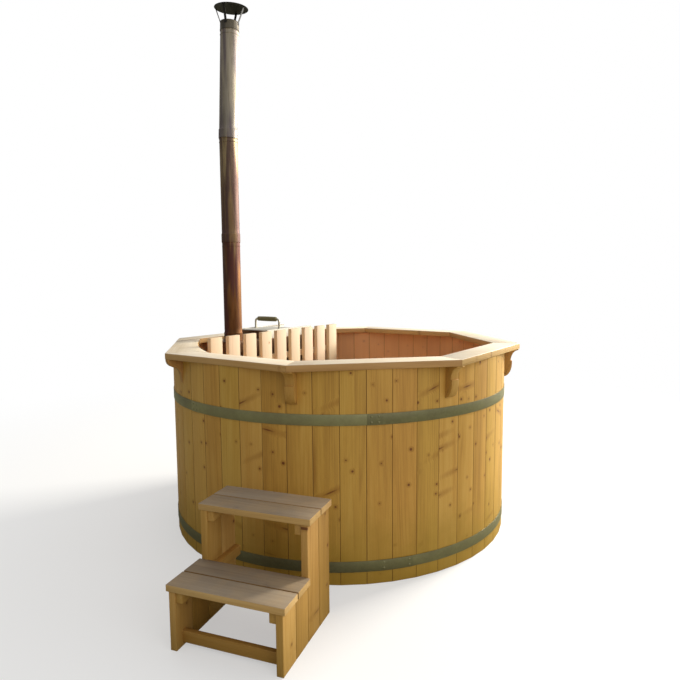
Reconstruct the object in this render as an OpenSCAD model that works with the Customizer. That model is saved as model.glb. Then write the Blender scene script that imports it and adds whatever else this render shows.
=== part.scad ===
// Wooden hot tub: a coopered wall under an eight-sided rim, with a wood stove
// and its flue behind a slatted guard, a bench inside and a pair of steps outside.
// Millimetres. The tub's axis is Z, the ground is z = 0, the rim's front board
// faces -Y, and a bearing is an angle round the axis, from +X towards +Y.

/* [Wall] */
// Height of the rim's top above the ground
rim_top = 1100; // [950:5:1250]
// Number of staves round the wall
stave_count = 50; // [44:1:56]
// Distance from the axis to the flat outer face of a stave
wall_r = 1029; // [990:1:1070]
// Thickness of a stave
stave_t = 42; // [36:1:48]
// Bearing of the middle of the first stave
stave_turn = 4.56; // [0:0.01:7]
// Bevel along the outer edges of a stave
stave_bevel = 2.5; // [1:0.1:4]
// Clearance of a stave's edge in a joint
stave_fit = 0.1; // [0.05:0.05:0.3]
// Thickness of the tongue between two staves
tongue_t = 12; // [8:1:14]
// How far a tongue reaches into the next stave
tongue_h = 8; // [5:0.5:10]
// Clearance round a tongue
tongue_fit = 0.3; // [0.1:0.1:0.6]

/* [Floor] */
// Height of the bearers under the floor
bearer_h = 74; // [66:1:90]
// Width of a bearer
bearer_w = 95; // [60:1:120]
// Distance between the bearers' middles
bearer_pitch = 600; // [540:5:640]
// Thickness of the floor boards
floor_t = 38; // [32:1:44]
// Width of a floor board
floor_board_w = 120; // [100:1:140]
// Gap between two floor boards
floor_gap = 0.5; // [0.2:0.1:2]
// Depth of the croze, the groove in the staves that holds the floor
croze_d = 12; // [8:1:16]
// Clearance of the floor in the croze
croze_fit = 0.3; // [0.1:0.1:1]

/* [Hoops] */
// Width of a hoop
hoop_w = 55; // [40:1:64]
// Thickness of a hoop
hoop_t = 2; // [1.5:0.1:3]
// Clearance between a hoop and the staves' corners
hoop_fit = 0.3; // [0.1:0.1:0.8]
// Height of the lower hoop's bottom edge
lower_hoop_z = 66; // [40:1:120]
// Height of the upper hoop's bottom edge
upper_hoop_z = 798; // [700:1:840]
// Bearing of the upper hoop's front lap
front_lap = -92.4; // [-100:0.1:-84]
// Bearing of the upper hoop's side lap
side_lap = -149.8; // [-155:0.1:-145]
// Length of an upper lap in degrees
upper_lap_span = 4.2; // [3:0.1:8]
// Bearing of the end of the lower hoop's lap
lower_lap = -79.4; // [-84:0.1:-76]
// Length of the lower lap in degrees
lower_lap_span = 9.6; // [4:0.1:12]
// Distance from the end of a lap to its rivets, in degrees
rivet_edge = 1.1; // [0.8:0.1:1.3]
// Distance of a rivet above or below the hoop's middle
rivet_rise = 14; // [8:1:16]
// Diameter of a rivet's shank
rivet_d = 6; // [4:0.5:7]
// Bearing of the draw bolts
tension_bearing = 80; // [60:1:100]
// Gap between the two ends of a hoop at its draw bolt
tension_gap = 40; // [30:1:60]
// Length of a lug along the hoop
lug_l = 60; // [50:1:80]
// Thickness of a lug
lug_t = 6; // [4:0.5:8]
// Height of a lug's flange
lug_h = 42; // [38:1:50]
// Diameter of a draw bolt
draw_bolt_d = 12; // [10:1:14]
// Length of a draw bolt's shank
draw_bolt_l = 90; // [82:1:120]

/* [Rim] */
// Thickness of the rim boards
rim_t = 34; // [28:1:40]
// Width of the rim boards
rim_w = 145; // [120:1:160]
// Overhang of the rim past the staves' outer faces
rim_over = 5; // [2:0.5:10]
// Gap of a rim joint
rim_gap = 1.4; // [0.6:0.1:3]
// Rounding of the rim boards' long edges
rim_round = 3; // [1:0.5:6]
// Width of the wide corner board before its curve is cut
corner_board_w = 235; // [200:1:260]
// Radius of the corner board's curved inner edge
corner_curve_r = 1960; // [1800:10:2200]
// Distance of the curve's start past the corner board's middle
corner_curve_y = 134; // [100:1:170]

/* [Corbels] */
// Thickness of a corbel
corbel_w = 48; // [40:1:56]
// Reach of a corbel from the wall
corbel_out = 82; // [74:1:86]
// Height of the flat nose at a corbel's top
nose_h = 6; // [3:1:10]
// Depth of the hollow in a corbel's front
cove_d = 44; // [36:1:48]
// Height of the hollow in a corbel's front
cove_h = 66; // [56:1:76]
// Width of a corbel below its hollow
land_d = 46; // [42:1:54]
// Height of the flat below the hollow
land_h = 12; // [6:1:20]
// Height of the round foot of a corbel
ovolo_h = 82; // [70:1:90]
// Height of the round top of the reversed corbel
bead_h = 41; // [34:1:48]
// Width of the reversed corbel below its round top
neck_d = 34; // [26:1:36]

/* [Screws] */
// Diameter of a screw's shank
screw_d = 5; // [4:0.5:6]
// Diameter of a screw's head
screw_head_d = 10; // [8:0.5:11]
// Height of a screw's countersunk head
screw_head_h = 3.5; // [2.5:0.5:5]
// Clearance of a screw in its hole
screw_fit = 0.15; // [0.05:0.05:0.3]
// Depth of a screw's point in the piece that it holds
screw_bite = 28; // [20:1:34]

/* [Guard] */
// Number of slats in the guard
slat_count = 9; // [7:1:9]
// Width of a slat
slat_w = 96; // [80:1:120]
// Thickness of a slat
slat_t = 28; // [18:1:32]
// Distance between the slats' middles
slat_pitch = 149; // [140:1:152]
// Height of the slats' tops above the rim
slat_rise = 50; // [20:1:80]
// Distance of the middle slat from the guard's middle
guard_shift = -42; // [-50:1:0]
// Distance between the guard and the stove
guard_gap = 47; // [20:1:55]
// Height of a guard rail
rail_h = 40; // [30:1:50]
// Thickness of a guard rail
rail_t = 30; // [22:1:36]
// Distance of the top rail's upper edge below the slats' tops
top_rail_drop = 160; // [120:1:200]
// Reach of the top rail past the last slat
rail_past = 30; // [10:1:50]
// Width of a guard post
post_w = 45; // [35:1:60]

/* [Stove] */
// Length of the stove
stove_l = 780; // [700:5:800]
// Depth of the stove
stove_d = 270; // [240:1:290]
// Height of the stove's top above the rim
stove_rise = -12; // [-25:1:0]
// Distance of the stove's middle along the guard
stove_shift = 30; // [0:1:50]
// Distance between the stove's back and the wall
stove_wall_gap = 167; // [140:1:190]
// Thickness of the stove's plates
plate_t = 5; // [4:0.5:8]
// Height of the skids under the stove
skid_h = 20; // [15:1:30]
// Length of the fuel hatch
hatch_l = 240; // [200:1:250]
// Depth of the fuel hatch
hatch_d = 200; // [170:1:210]
// Distance of the hatch's middle from the stove's middle
hatch_shift = 51; // [40:1:60]
// Width of the bars that frame the hatch
hatch_bar_w = 22; // [18:1:24]
// Height of the bars that frame the hatch
hatch_bar_h = 50; // [30:1:60]
// Length of the lid
lid_l = 300; // [290:1:310]
// Thickness of the lid
lid_t = 6; // [4:0.5:8]
// Clearance of the sliding lid
slide_fit = 0.4; // [0.3:0.1:0.8]
// Thickness of a lid guide
guide_t = 3; // [2:0.5:4]
// Reach of a lid guide over the lid
guide_lip = 9; // [6:1:12]
// Length of the lid's handle
handle_l = 238; // [200:1:250]
// Height of the handle's top above the lid
handle_rise = 83; // [70:1:100]
// Diameter of the handle's rod
rod_d = 14; // [10:1:16]
// Bend of the handle's rod
rod_bend = 24; // [18:1:30]
// Diameter of the handle's grip
grip_d = 30; // [26:1:34]
// Length of the handle's grip
grip_l = 160; // [120:1:166]
// Diameter of the handle's feet
foot_d = 24; // [20:1:26]
// Height of the grate above the stove's bottom
grate_z = 85; // [60:1:120]
// Thickness of the grate
grate_t = 12; // [8:1:16]
// Distance of the baffle from the stove's middle
baffle_shift = -190; // [-200:1:-170]
// Gap under the baffle
baffle_gap = 330; // [250:5:400]

/* [Flue] */
// Outer diameter of the flue pipes
flue_d = 117; // [110:1:125]
// Thickness of the flue's sheet
flue_wall = 1.5; // [1:0.1:2.5]
// Distance of the flue from the stove's middle
flue_shift = -289; // [-292:1:-270]
// Visible length of the lower flue pipe
lower_pipe_l = 653; // [500:1:700]
// Visible length of the other flue pipes
upper_pipe_l = 667; // [600:1:750]
// Depth of a pipe's socket
socket_l = 50; // [40:1:60]
// Clearance in a socket
socket_fit = 1.4; // [1.2:0.1:2]
// Length of a socket's flare
flare_l = 6; // [5:1:10]
// Distance of a pipe's second bead below the joint above it
bead_drop = 26; // [20:1:40]
// Radius of a bead
bead_r = 2; // [1:0.1:3]
// Lean of the top pipe
pipe_lean = 2.3; // [0:0.1:2.5]
// Bearing towards which the top pipe leans
lean_bearing = -9.8; // [-30:0.1:30]
// Length of the cap's collar
collar_l = 54; // [45:1:70]
// Clearance of the collar on the top pipe
collar_fit = 0.4; // [0.3:0.1:1]
// Distance between the collar and the cap
cap_rise = 82; // [70:1:100]
// Diameter of the cap
cap_d = 224; // [200:1:240]
// Height of the cap's cone
cap_h = 34; // [24:1:44]
// Extra lean of the cap
cap_lean = 3.4; // [0:0.1:5]
// Width of a cap strap
strap_w = 16; // [12:1:20]
// Thickness of a cap strap
strap_t = 2; // [1.5:0.1:3]

/* [Drain] */
// Distance of the drain in front of the axis
drain_y = 480; // [470:1:500]
// Outer diameter of the drain's spigot
drain_d = 50; // [46:1:54]
// Thickness of the spigot's wall
drain_wall = 5; // [4:0.5:6]
// Diameter of the drain's threaded part
drain_thread_d = 54; // [52:1:60]
// Diameter of the drain's flange
drain_flange_d = 84; // [76:1:90]
// Thickness of the drain's flange
drain_flange_t = 4; // [3:0.5:6]
// Height of the spigot's end above the ground
drain_end = 8; // [5:1:10]
// Length of the spigot below its thread
drain_spigot_l = 44; // [40:1:46]
// Thickness of the drain's gasket
gasket_t = 3; // [2:0.5:4]
// Height of the drain's nut
drain_nut_h = 16; // [12:1:20]
// Diameter of the plug's ring
plug_ring_d = 34; // [28:1:40]

/* [Bench] */
// Height of the bench's top above the floor
bench_rise = 338; // [300:1:400]
// Thickness of the bench boards
bench_t = 30; // [24:1:36]
// Width of a bench board
bench_board_w = 145; // [120:1:150]
// Gap between two bench boards
bench_gap = 10; // [6:1:16]
// Distance between the bench and the wall's corners
bench_wall_gap = 7; // [4:1:20]
// Width of a bench bearer
bench_bearer_w = 45; // [40:1:60]
// Height of a bench bearer
bench_bearer_h = 70; // [60:1:90]
// Depth of a bench leg
bench_leg_d = 70; // [50:1:90]
// Height of the blocks that carry the bench at the wall
block_h = 70; // [60:1:90]
// Depth of the blocks that carry the bench at the wall
block_d = 40; // [34:1:50]

/* [Steps] */
// Position of the steps' front left corner along X
step_x = -955; // [-1100:1:-900]
// Position of the steps' front left corner along Y
step_y = -1384; // [-1600:1:-1370]
// Turn of the steps
step_turn = -30.5; // [-40:0.1:-20]
// Width of the treads
tread_w = 530; // [480:1:600]
// Depth of a tread
tread_d = 242; // [220:1:260]
// Thickness of a tread
tread_t = 29; // [24:1:36]
// Gap between the two boards of a tread
tread_gap = 6; // [3:1:10]
// Height of the lower tread's top
lower_tread_z = 279; // [240:1:320]
// Height of the upper tread's top
upper_tread_z = 527; // [480:1:580]
// Thickness of the side boards
side_t = 30; // [24:1:36]
// Gap between two side boards
side_gap = 3; // [1:1:6]
// Distance of the side boards inside the treads' ends
side_inset = 11; // [6:1:20]
// Width of a cleat
cleat_w = 30; // [24:1:40]
// Height of a cleat
cleat_h = 45; // [36:1:60]
// Height of the stretcher above the ground
stretcher_z = 17; // [10:1:30]
// Height of the stretcher
stretcher_h = 50; // [40:1:70]
// Thickness of the stretcher
stretcher_t = 24; // [18:1:30]
// Distance of the stretcher behind the front edge
stretcher_back = 44; // [30:1:60]

/* [Hidden] */
$fn = 96;

sides = 8;
side_a = 360 / sides;
half_side = side_a / 2;
bore_fn = 48;
seat = 0.05;
big = 3000;

stave_a = 360 / stave_count;
stave_l = rim_top - rim_t;
stave_half = wall_r * tan(stave_a / 2);
stave_mid = wall_r - stave_t / 2;
wall_in = wall_r - stave_t;
floor_top = bearer_h + floor_t;
floor_r = wall_in + croze_d - croze_fit;

hoop_r = norm([wall_r, stave_half - stave_bevel]) + hoop_fit;
lap_seat = 0.05;
lap_step = 0.25;
lap_slack = 0.1;
lap_r = hoop_r + hoop_t + lap_seat;
rivet_fit = 0.1;
rivet_head_d = rivet_d * 1.9;
rivet_head_h = rivet_d * 0.4;
gap_a = asin(tension_gap / 2 / hoop_r);
lug_a = lug_l / hoop_r * 180 / PI;
lug_step = 0.15;
lug_rivet_a = (lug_l - 14) / hoop_r * 180 / PI;
lug_bolt_r = lap_r + lug_h * 0.58;
draw_bolt_fit = 0.5;
draw_nut_h = draw_bolt_d * 0.8;
draw_hex_d = draw_bolt_d * 1.8;
hoop_ends = [tension_bearing + gap_a, 360 + tension_bearing - gap_a];
upper_rivets = [for (lap = [side_lap, front_lap])
    for (a = [rivet_edge, upper_lap_span - rivet_edge]) lap + a];
lower_rivets = [lower_lap - rivet_edge, lower_lap - lower_lap_span + rivet_edge];

rim_out = wall_r + rim_over;
rim_in = rim_out - rim_w;
slope = tan(half_side);
butt_y = sin(side_a) * rim_in * 2 - rim_out;
corbel_h = nose_h + cove_h + land_h + ovolo_h;
corbel_screw_z = [stave_l - nose_h - cove_h * 0.68, stave_l - nose_h - cove_h - land_h / 2];
corbel_screw_r = wall_r + neck_d - 4;
vertex_screw_r = wall_r + 22;
vertex_screw_y = 13;
wall_screw_turns = [-12, 0, 12];
rim_screw_l = rim_t + screw_bite;

stove_back = wall_in - stove_wall_gap;
stove_front = stove_back - stove_d;
stove_mid = (stove_front + stove_back) / 2;
stove_x0 = stove_shift - stove_l / 2;
stove_x1 = stove_shift + stove_l / 2;
stove_top = rim_top + stove_rise;
stove_base = floor_top + skid_h;
hatch_x = stove_shift + hatch_shift;
hatch_top = stove_top + hatch_bar_h;
lid_z = hatch_top + slide_fit;
lid_top = lid_z + lid_t;
lid_d = stove_d - 2 * (guide_t + slide_fit);
rod_z = lid_top + handle_rise - grip_d / 2;
foot_h = 4;
grip_fit = 0.3;
skid_w = 40;
weld = 0.1;
inner_front = stove_front + plate_t;
inner_back = stove_back - plate_t;
inner_d = inner_back - inner_front;
inner_x0 = stove_x0 + plate_t;
inner_x1 = stove_x1 - plate_t;
baffle_x = stove_shift + baffle_shift;
ledge_w = 20;
ledge_t = 5;
grate_fit = 3;
grate_slot_w = 12;
grate_bar_w = 14;
bracket_l = 60;
bracket_w = 40;
bracket_hole = 36;
bracket_inset = 60;

guard_back = stove_front - guard_gap;
rail_y = guard_back - rail_t;
slat_y = rail_y - slat_t;
slat_top = rim_top + slat_rise;
slat_l = slat_top - floor_top;
slat_xs = [for (i = [0 : slat_count - 1]) guard_shift + (i - (slat_count - 1) / 2) * slat_pitch];
top_rail_z = slat_top - top_rail_drop - rail_h;
slat_screw_rise = rail_h / 4;

flue_r = flue_d / 2;
flue_x = stove_shift + flue_shift;
spigot_l = socket_l + 6;
socket_r = flue_r + socket_fit + flue_wall;
pipe_lap = 3;
stop_r = bead_r + 0.3;
joint_1 = stove_top + lower_pipe_l;
joint_2 = joint_1 + upper_pipe_l;
joint_3 = joint_2 + upper_pipe_l;
cap_wall = 1.2;
collar_r = flue_r + collar_fit + cap_wall;
cap_z = joint_3 + collar_l + cap_rise;
strap_spread = 34;
strap_turn = 21;
strap_foot = 22;

drain_r = drain_d / 2;
drain_bore_r = drain_r - drain_wall;
drain_seat_z = floor_top + gasket_t;
drain_top = drain_seat_z + drain_flange_t;
drain_fit = 0.5;
drain_nut_d = drain_thread_d + 18;
plug_lip_d = drain_flange_d * 0.7;
plug_lip_t = 4;
plug_fit = 0.35;
plug_depth = 14;
plug_taper = 2;
ring_wire = 3;

bench_top = floor_top + bench_rise;
bench_out = (wall_in - bench_wall_gap) * cos(half_side);
bench_rows = [bench_out - bench_board_w, bench_out - 2 * bench_board_w - bench_gap];
bench_in = bench_rows[1];
bench_bearer_z = bench_top - bench_t - bench_bearer_h;
bench_joint_gap = 4;
bench_screw_y = bench_bearer_w / 4 + 1;
bench_round = 4;
block_w = bench_bearer_w + 40;
block_screw_y = block_w / 2 - 16;
block_screw_z = bench_bearer_z - block_h / 2;

tread_round = 3;
board_d = (tread_d - tread_gap) / 2;
side_l = 4;
side_x = [side_inset, tread_w - side_inset - side_t];
cleat_x = [side_inset + side_t, tread_w - side_inset - side_t - cleat_w];
side_board_w = (tread_d - side_l) / 2 - side_gap;
side_ys = [for (i = [0 : 3]) side_l + i * (side_board_w + side_gap)];
tread_boards = [for (step = [0, 1]) for (i = [0, 1]) step * tread_d + i * (board_d + tread_gap)];

// Bearing of the middle of rim side k, and of the corner that ends it
function side_bearing(k) = -135 + side_a * k;
function corner_bearing(k) = side_bearing(k) + half_side;

// True where two bearings are less than a stave apart
function near(a, b) = cos(a - b) > cos(stave_a);

// Points of an elliptical arc round (x, y), from angle a0 to a1
function arc_points(x, y, rx, ry, a0, a1, n = 10) =
    [for (i = [0 : n]) let(a = a0 + (a1 - a0) * i / n) [x + rx * cos(a), y + ry * sin(a)]];

// A rectangle from the origin with its corners rounded
module rounded(w, h, r) {
    translate([r, 0])
        square([w - 2 * r, h]);
    translate([0, r])
        square([w, h - 2 * r]);
    for (x = [r, w - r], y = [r, h - r])
        translate([x, y])
            circle(r = r, $fn = bore_fn);
}

// A board along +X with its long edges rounded
module plank(l, w, t, r) {
    rotate([90, 0, 90])
        linear_extrude(l)
            rounded(w, t, r);
}

// Turns its children so that +Z becomes the outward direction at a bearing
module outward(bearing, r, z) {
    rotate([0, 0, bearing])
        translate([r, 0, z])
            rotate([0, 90, 0])
                children();
}

// The many-sided prism of the staves' faces at distance r from the axis
module wall_prism(r) {
    linear_extrude(big)
        polygon([for (i = [0 : stave_count - 1]) let(a = stave_turn + (i + 0.5) * stave_a)
            r / cos(stave_a / 2) * [cos(a), sin(a)]]);
}

// A countersunk screw with its head at z = 0 and its point down; grow makes its hole
module screw(l, grow = 0) {
    translate([0, 0, -l - grow])
        cylinder(h = l + grow, d = screw_d + 2 * grow, $fn = bore_fn);
    translate([0, 0, -screw_head_h])
        cylinder(h = screw_head_h, d1 = screw_d + 2 * grow, d2 = screw_head_d + 2 * grow,
            $fn = bore_fn);
    if (grow > 0)
        cylinder(h = 1, d = screw_head_d + 2 * grow, $fn = bore_fn);
}

// Turns children drawn in the stove's own frame: X along the guard, Y towards the wall
module stove_frame() {
    rotate([0, 0, side_a])
        children();
}

// ---- Wall ----

// Y of a stave's edge at distance x from the axis
function edge_y(x) = x * tan(stave_a / 2) - stave_fit;

// Section of one stave on the +X axis, with its tongue and its groove
module stave_section() {
    inner_half = edge_y(wall_in);
    bevel_r = wall_r - stave_bevel;
    difference() {
        union() {
            polygon([
                [wall_in, -inner_half], [bevel_r, -edge_y(bevel_r)],
                [wall_r, -stave_half + stave_bevel], [wall_r, stave_half - stave_bevel],
                [bevel_r, edge_y(bevel_r)], [wall_in, inner_half]
            ]);
            rotate(stave_a / 2)
                translate([stave_mid - tongue_t / 2, -1])
                    square([tongue_t, tongue_h + 1]);
        }
        rotate(-stave_a / 2)
            translate([stave_mid - tongue_t / 2 - tongue_fit, -1])
                square([tongue_t + 2 * tongue_fit, tongue_h + tongue_fit + 1]);
    }
}

// The croze, a groove round the inside of the wall
module croze() {
    translate([0, 0, bearer_h])
        rotate_extrude()
            translate([wall_in - croze_d, 0])
                square([2 * croze_d, floor_t + croze_fit]);
}

module staves() {
    color("peru")
    for (i = [0 : stave_count - 1]) {
        bearing = stave_turn + i * stave_a;
        difference() {
            rotate([0, 0, bearing])
                linear_extrude(stave_l)
                    stave_section();
            croze();
            for (k = [0 : sides - 1]) {
                if (near(bearing, corner_bearing(k)))
                    corbel_screws_at(k, screw_fit);
                for (turn = wall_screw_turns)
                    if (near(bearing, side_bearing(k) + turn))
                        wall_screw_at(k, turn, screw_fit);
            }
            for (k = bench_corners)
                if (near(bearing, corner_bearing(k)))
                    block_screws_at(k, screw_fit);
        }
    }
}

// Section of one floor board, centred, with its tongue and its groove
module floor_section() {
    half = (floor_board_w - floor_gap) / 2;
    tongue_z = (floor_t - tongue_t) / 2;
    difference() {
        union() {
            translate([-half, 0])
                square([2 * half, floor_t]);
            translate([half - 1, tongue_z])
                square([tongue_h + 1, tongue_t]);
        }
        translate([-half - 1, tongue_z - tongue_fit])
            square([tongue_h + tongue_fit + 1, tongue_t + 2 * tongue_fit]);
    }
}

module floor_boards() {
    last = ceil(floor_r / floor_board_w - 0.5);
    color("sienna")
    for (i = [-last : last])
        difference() {
            intersection() {
                translate([i * floor_board_w, floor_r, bearer_h])
                    rotate([90, 0, 0])
                        linear_extrude(2 * floor_r)
                            floor_section();
                cylinder(r = floor_r, h = big);
            }
            translate([0, -drain_y, 0])
                cylinder(d = drain_thread_d + 2 * drain_fit, h = big);
            bracket_screws_all(screw_fit);
            stove_frame()
                bottom_rail_screws(screw_fit);
        }
}

module floor_bearers() {
    color("saddlebrown")
    for (i = [-1 : 1])
        intersection() {
            translate([-wall_in, i * bearer_pitch - bearer_w / 2, 0])
                cube([2 * wall_in, bearer_w, bearer_h]);
            cylinder(r = wall_in - 2, h = big);
        }
}

// ---- Hoops ----

// Outline of a flat ring sector from radius r0 to r1 between two bearings
module ring_arc(r0, r1, a0, a1) {
    steps = ceil((a1 - a0) / 45);
    intersection() {
        difference() {
            circle(r = r1, $fn = 360);
            circle(r = r0, $fn = 360);
        }
        polygon(concat(
            [[0, 0]],
            arc_points(0, 0, 2 * r1, 2 * r1, a0, a1, steps)
        ));
    }
}

// A length of hoop whose ends may step out over the next length
module band(a0, a1, over0 = 0, over1 = 0) {
    step0 = a0 + over0;
    step1 = a1 - over1;
    linear_extrude(hoop_w) {
        ring_arc(hoop_r, hoop_r + hoop_t, step0, step1);
        if (over0 > 0) {
            ring_arc(lap_r, lap_r + hoop_t, a0, step0 + lap_step);
            ring_arc(hoop_r, lap_r + hoop_t, step0, step0 + lap_step);
        }
        if (over1 > 0) {
            ring_arc(lap_r, lap_r + hoop_t, step1 - lap_step, a1);
            ring_arc(hoop_r, lap_r + hoop_t, step1 - lap_step, step1);
        }
    }
}

// Puts its children at each rivet of a pair, pointing outwards
module rivet_pair(bearing, z) {
    for (side = [-1, 1])
        outward(bearing, hoop_r, z + hoop_w / 2 + side * rivet_rise)
            children();
}

// Bearings of the rivets that hold the lugs
function lug_rivets() = [for (side = [-1, 1]) tension_bearing + side * (gap_a + lug_rivet_a)];

module rivet_hole() {
    translate([0, 0, -5])
        cylinder(h = 30, d = rivet_d + 2 * rivet_fit, $fn = bore_fn);
}

module upper_hoop() {
    side_end = 360 + side_lap + upper_lap_span - lap_slack;
    front_end = 360 + front_lap + upper_lap_span - lap_slack;
    color("dimgray")
    difference() {
        translate([0, 0, upper_hoop_z]) {
            band(hoop_ends[0], side_end);
            band(360 + side_lap, front_end, upper_lap_span);
            band(360 + front_lap, hoop_ends[1], upper_lap_span);
        }
        for (a = concat(upper_rivets, lug_rivets()))
            rivet_pair(a, upper_hoop_z)
                rivet_hole();
    }
}

module lower_hoop() {
    start = 360 + lower_lap - lower_lap_span + lap_slack;
    color("dimgray")
    difference() {
        translate([0, 0, lower_hoop_z]) {
            band(hoop_ends[0], 360 + lower_lap, 0, lower_lap_span);
            band(start, hoop_ends[1]);
        }
        for (a = concat(lower_rivets, lug_rivets()))
            rivet_pair(a, lower_hoop_z)
                rivet_hole();
    }
}

// A rivet whose grip is l, with a conical head outside
module rivet(l) {
    cylinder(h = l, d = rivet_d, $fn = bore_fn);
    translate([0, 0, l])
        cylinder(h = rivet_head_h, d1 = rivet_head_d, d2 = rivet_d, $fn = bore_fn);
}

module hoop_rivets() {
    lap_grip = lap_r + hoop_t - hoop_r + 0.1;
    lug_grip = lap_r + lug_t - hoop_r + 0.1;
    color("gray") {
        for (a = upper_rivets)
            rivet_pair(a, upper_hoop_z)
                rivet(lap_grip);
        for (a = lower_rivets)
            rivet_pair(a, lower_hoop_z)
                rivet(lap_grip);
        for (z = [lower_hoop_z, upper_hoop_z], a = lug_rivets())
            rivet_pair(a, z)
                rivet(lug_grip);
    }
}

// Lug on the +Y side of the tension gap: a curved foot and a drilled flange
module lug() {
    difference() {
        union() {
            linear_extrude(hoop_w)
                ring_arc(lap_r, lap_r + lug_t, gap_a + lug_step, gap_a + lug_a);
            translate([lap_r + lug_t / 2, tension_gap / 2, 0])
                cube([lug_h - lug_t / 2, lug_t, hoop_w]);
        }
        translate([lug_bolt_r, 0, hoop_w / 2])
            rotate([-90, 0, 0])
                cylinder(h = tension_gap, d = draw_bolt_d + 2 * draw_bolt_fit, $fn = bore_fn);
    }
}

module hoop_lugs() {
    color("dimgray")
    difference() {
        for (z = [lower_hoop_z, upper_hoop_z], flip = [0, 1])
            rotate([0, 0, tension_bearing])
                translate([0, 0, z])
                    mirror([0, flip, 0])
                        lug();
        for (z = [lower_hoop_z, upper_hoop_z], a = lug_rivets())
            rivet_pair(a, z)
                rivet_hole();
    }
}

module hoop_draw_bolts() {
    head_y = tension_gap / 2 + lug_t;
    color("silver")
    for (z = [lower_hoop_z, upper_hoop_z])
        rotate([0, 0, tension_bearing])
            translate([lug_bolt_r, 0, z + hoop_w / 2])
                rotate([-90, 0, 0]) {
                    translate([0, 0, -head_y - draw_nut_h])
                        cylinder(h = draw_nut_h, d = draw_hex_d, $fn = 6);
                    translate([0, 0, -head_y])
                        cylinder(h = draw_bolt_l, d = draw_bolt_d, $fn = bore_fn);
                    translate([0, 0, head_y])
                        difference() {
                            cylinder(h = draw_nut_h, d = draw_hex_d, $fn = 6);
                            translate([0, 0, -1])
                                cylinder(h = draw_nut_h + 2, d = draw_bolt_d + 0.2, $fn = bore_fn);
                        }
                }
}

// ---- Rim ----

// Y of the mitre line at distance x, set back by half the joint's gap
function mitre_y(x) = x * slope - rim_gap / 2 / cos(half_side);

// Screw from rim side k into the middle of a stave's end
module wall_screw_at(k, turn, grow = 0) {
    rotate([0, 0, side_bearing(k) + turn])
        translate([stave_mid, 0, rim_top])
            screw(rim_screw_l, grow);
}

// Screws from rim side k into the corbels at its ends
module vertex_screws_at(k, grow = 0) {
    spots = k == 6 ? [[-1, 1], [1, -1], [1, 1]] : k == 7 ? [[1, -1]] : [[-1, 1], [1, -1]];
    for (spot = spots)
        rotate([0, 0, side_bearing(k) + spot[0] * half_side])
            translate([vertex_screw_r, spot[1] * vertex_screw_y, rim_top])
                screw(rim_screw_l, grow);
}

module rim_screws_at(k, grow = 0) {
    vertex_screws_at(k, grow);
    for (turn = wall_screw_turns)
        wall_screw_at(k, turn, grow);
}

// Rim side k, whose outline is given on the +X axis
module rim_board(k, outline) {
    color("wheat")
    difference() {
        translate([0, 0, stave_l])
            rotate([0, 0, side_bearing(k)])
                intersection() {
                    linear_extrude(rim_t)
                        polygon(outline);
                    rotate([90, 0, 0])
                        translate([rim_in, 0, -rim_out])
                            linear_extrude(2 * rim_out)
                                rounded(rim_w, rim_t, rim_round);
                }
        rim_screws_at(k, screw_fit);
    }
}

mitred = [
    [rim_in, -mitre_y(rim_in)], [rim_out, -mitre_y(rim_out)],
    [rim_out, mitre_y(rim_out)], [rim_in, mitre_y(rim_in)]
];

// Outline of the back left board, which runs through to the tub's left side
run_through = [
    [rim_in, -mitre_y(rim_in)], [rim_out, -mitre_y(rim_out)],
    [rim_out, rim_out * slope], [rim_in, rim_out / sin(side_a) - rim_in]
];

// The wide corner board: butted at one end, mitred at the other, curved inside
module rim_corner_board() {
    extra = corner_board_w - rim_w;
    butt = rim_gap / sin(side_a);
    color("wheat")
    difference() {
        translate([0, 0, stave_l])
            rotate([0, 0, side_bearing(7)])
                linear_extrude(rim_t)
                    difference() {
                        polygon([
                            [rim_out, butt - butt_y],
                            [rim_out, mitre_y(rim_out)],
                            [rim_in, mitre_y(rim_in)],
                            [rim_in - extra, mitre_y(rim_in) + extra],
                            [rim_in - extra, -corner_curve_y],
                            [rim_in, -corner_curve_y],
                            [rim_in, butt - butt_y - rim_w]
                        ]);
                        translate([rim_in - corner_curve_r, -corner_curve_y])
                            circle(r = corner_curve_r, $fn = 720);
                    }
        rim_screws_at(7, screw_fit);
    }
}

module rim_screws() {
    color("silver")
    for (k = [0 : sides - 1])
        rim_screws_at(k);
}

// ---- Corbels ----

// Profile of a corbel: X from the wall, Y down from the rim
function hollow_profile() = concat(
    [[-8, 0], [corbel_out, 0]],
    arc_points(corbel_out, nose_h + cove_h, cove_d, cove_h, 270, 180),
    [[land_d, nose_h + cove_h]],
    arc_points(0, nose_h + cove_h + land_h, land_d, ovolo_h, 0, 90),
    [[-8, corbel_h]]
);

// Profile of the reversed corbel, with a round top and a hollow foot
function round_profile() = concat(
    [[-8, 0], [corbel_out, 0]],
    arc_points(corbel_out - cove_d, nose_h, cove_d, bead_h, 0, 90),
    [[neck_d, nose_h + bead_h], [neck_d, nose_h + bead_h + land_h / 2]],
    arc_points(neck_d, corbel_h, neck_d, corbel_h - nose_h - bead_h - land_h / 2, 270, 180),
    [[-8, corbel_h]]
);

// The two screws that hold corbel k to the wall
module corbel_screws_at(k, grow = 0) {
    for (z = corbel_screw_z)
        outward(corner_bearing(k), corbel_screw_r, z)
            screw(corbel_screw_r - wall_r + screw_bite, grow);
}

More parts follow.
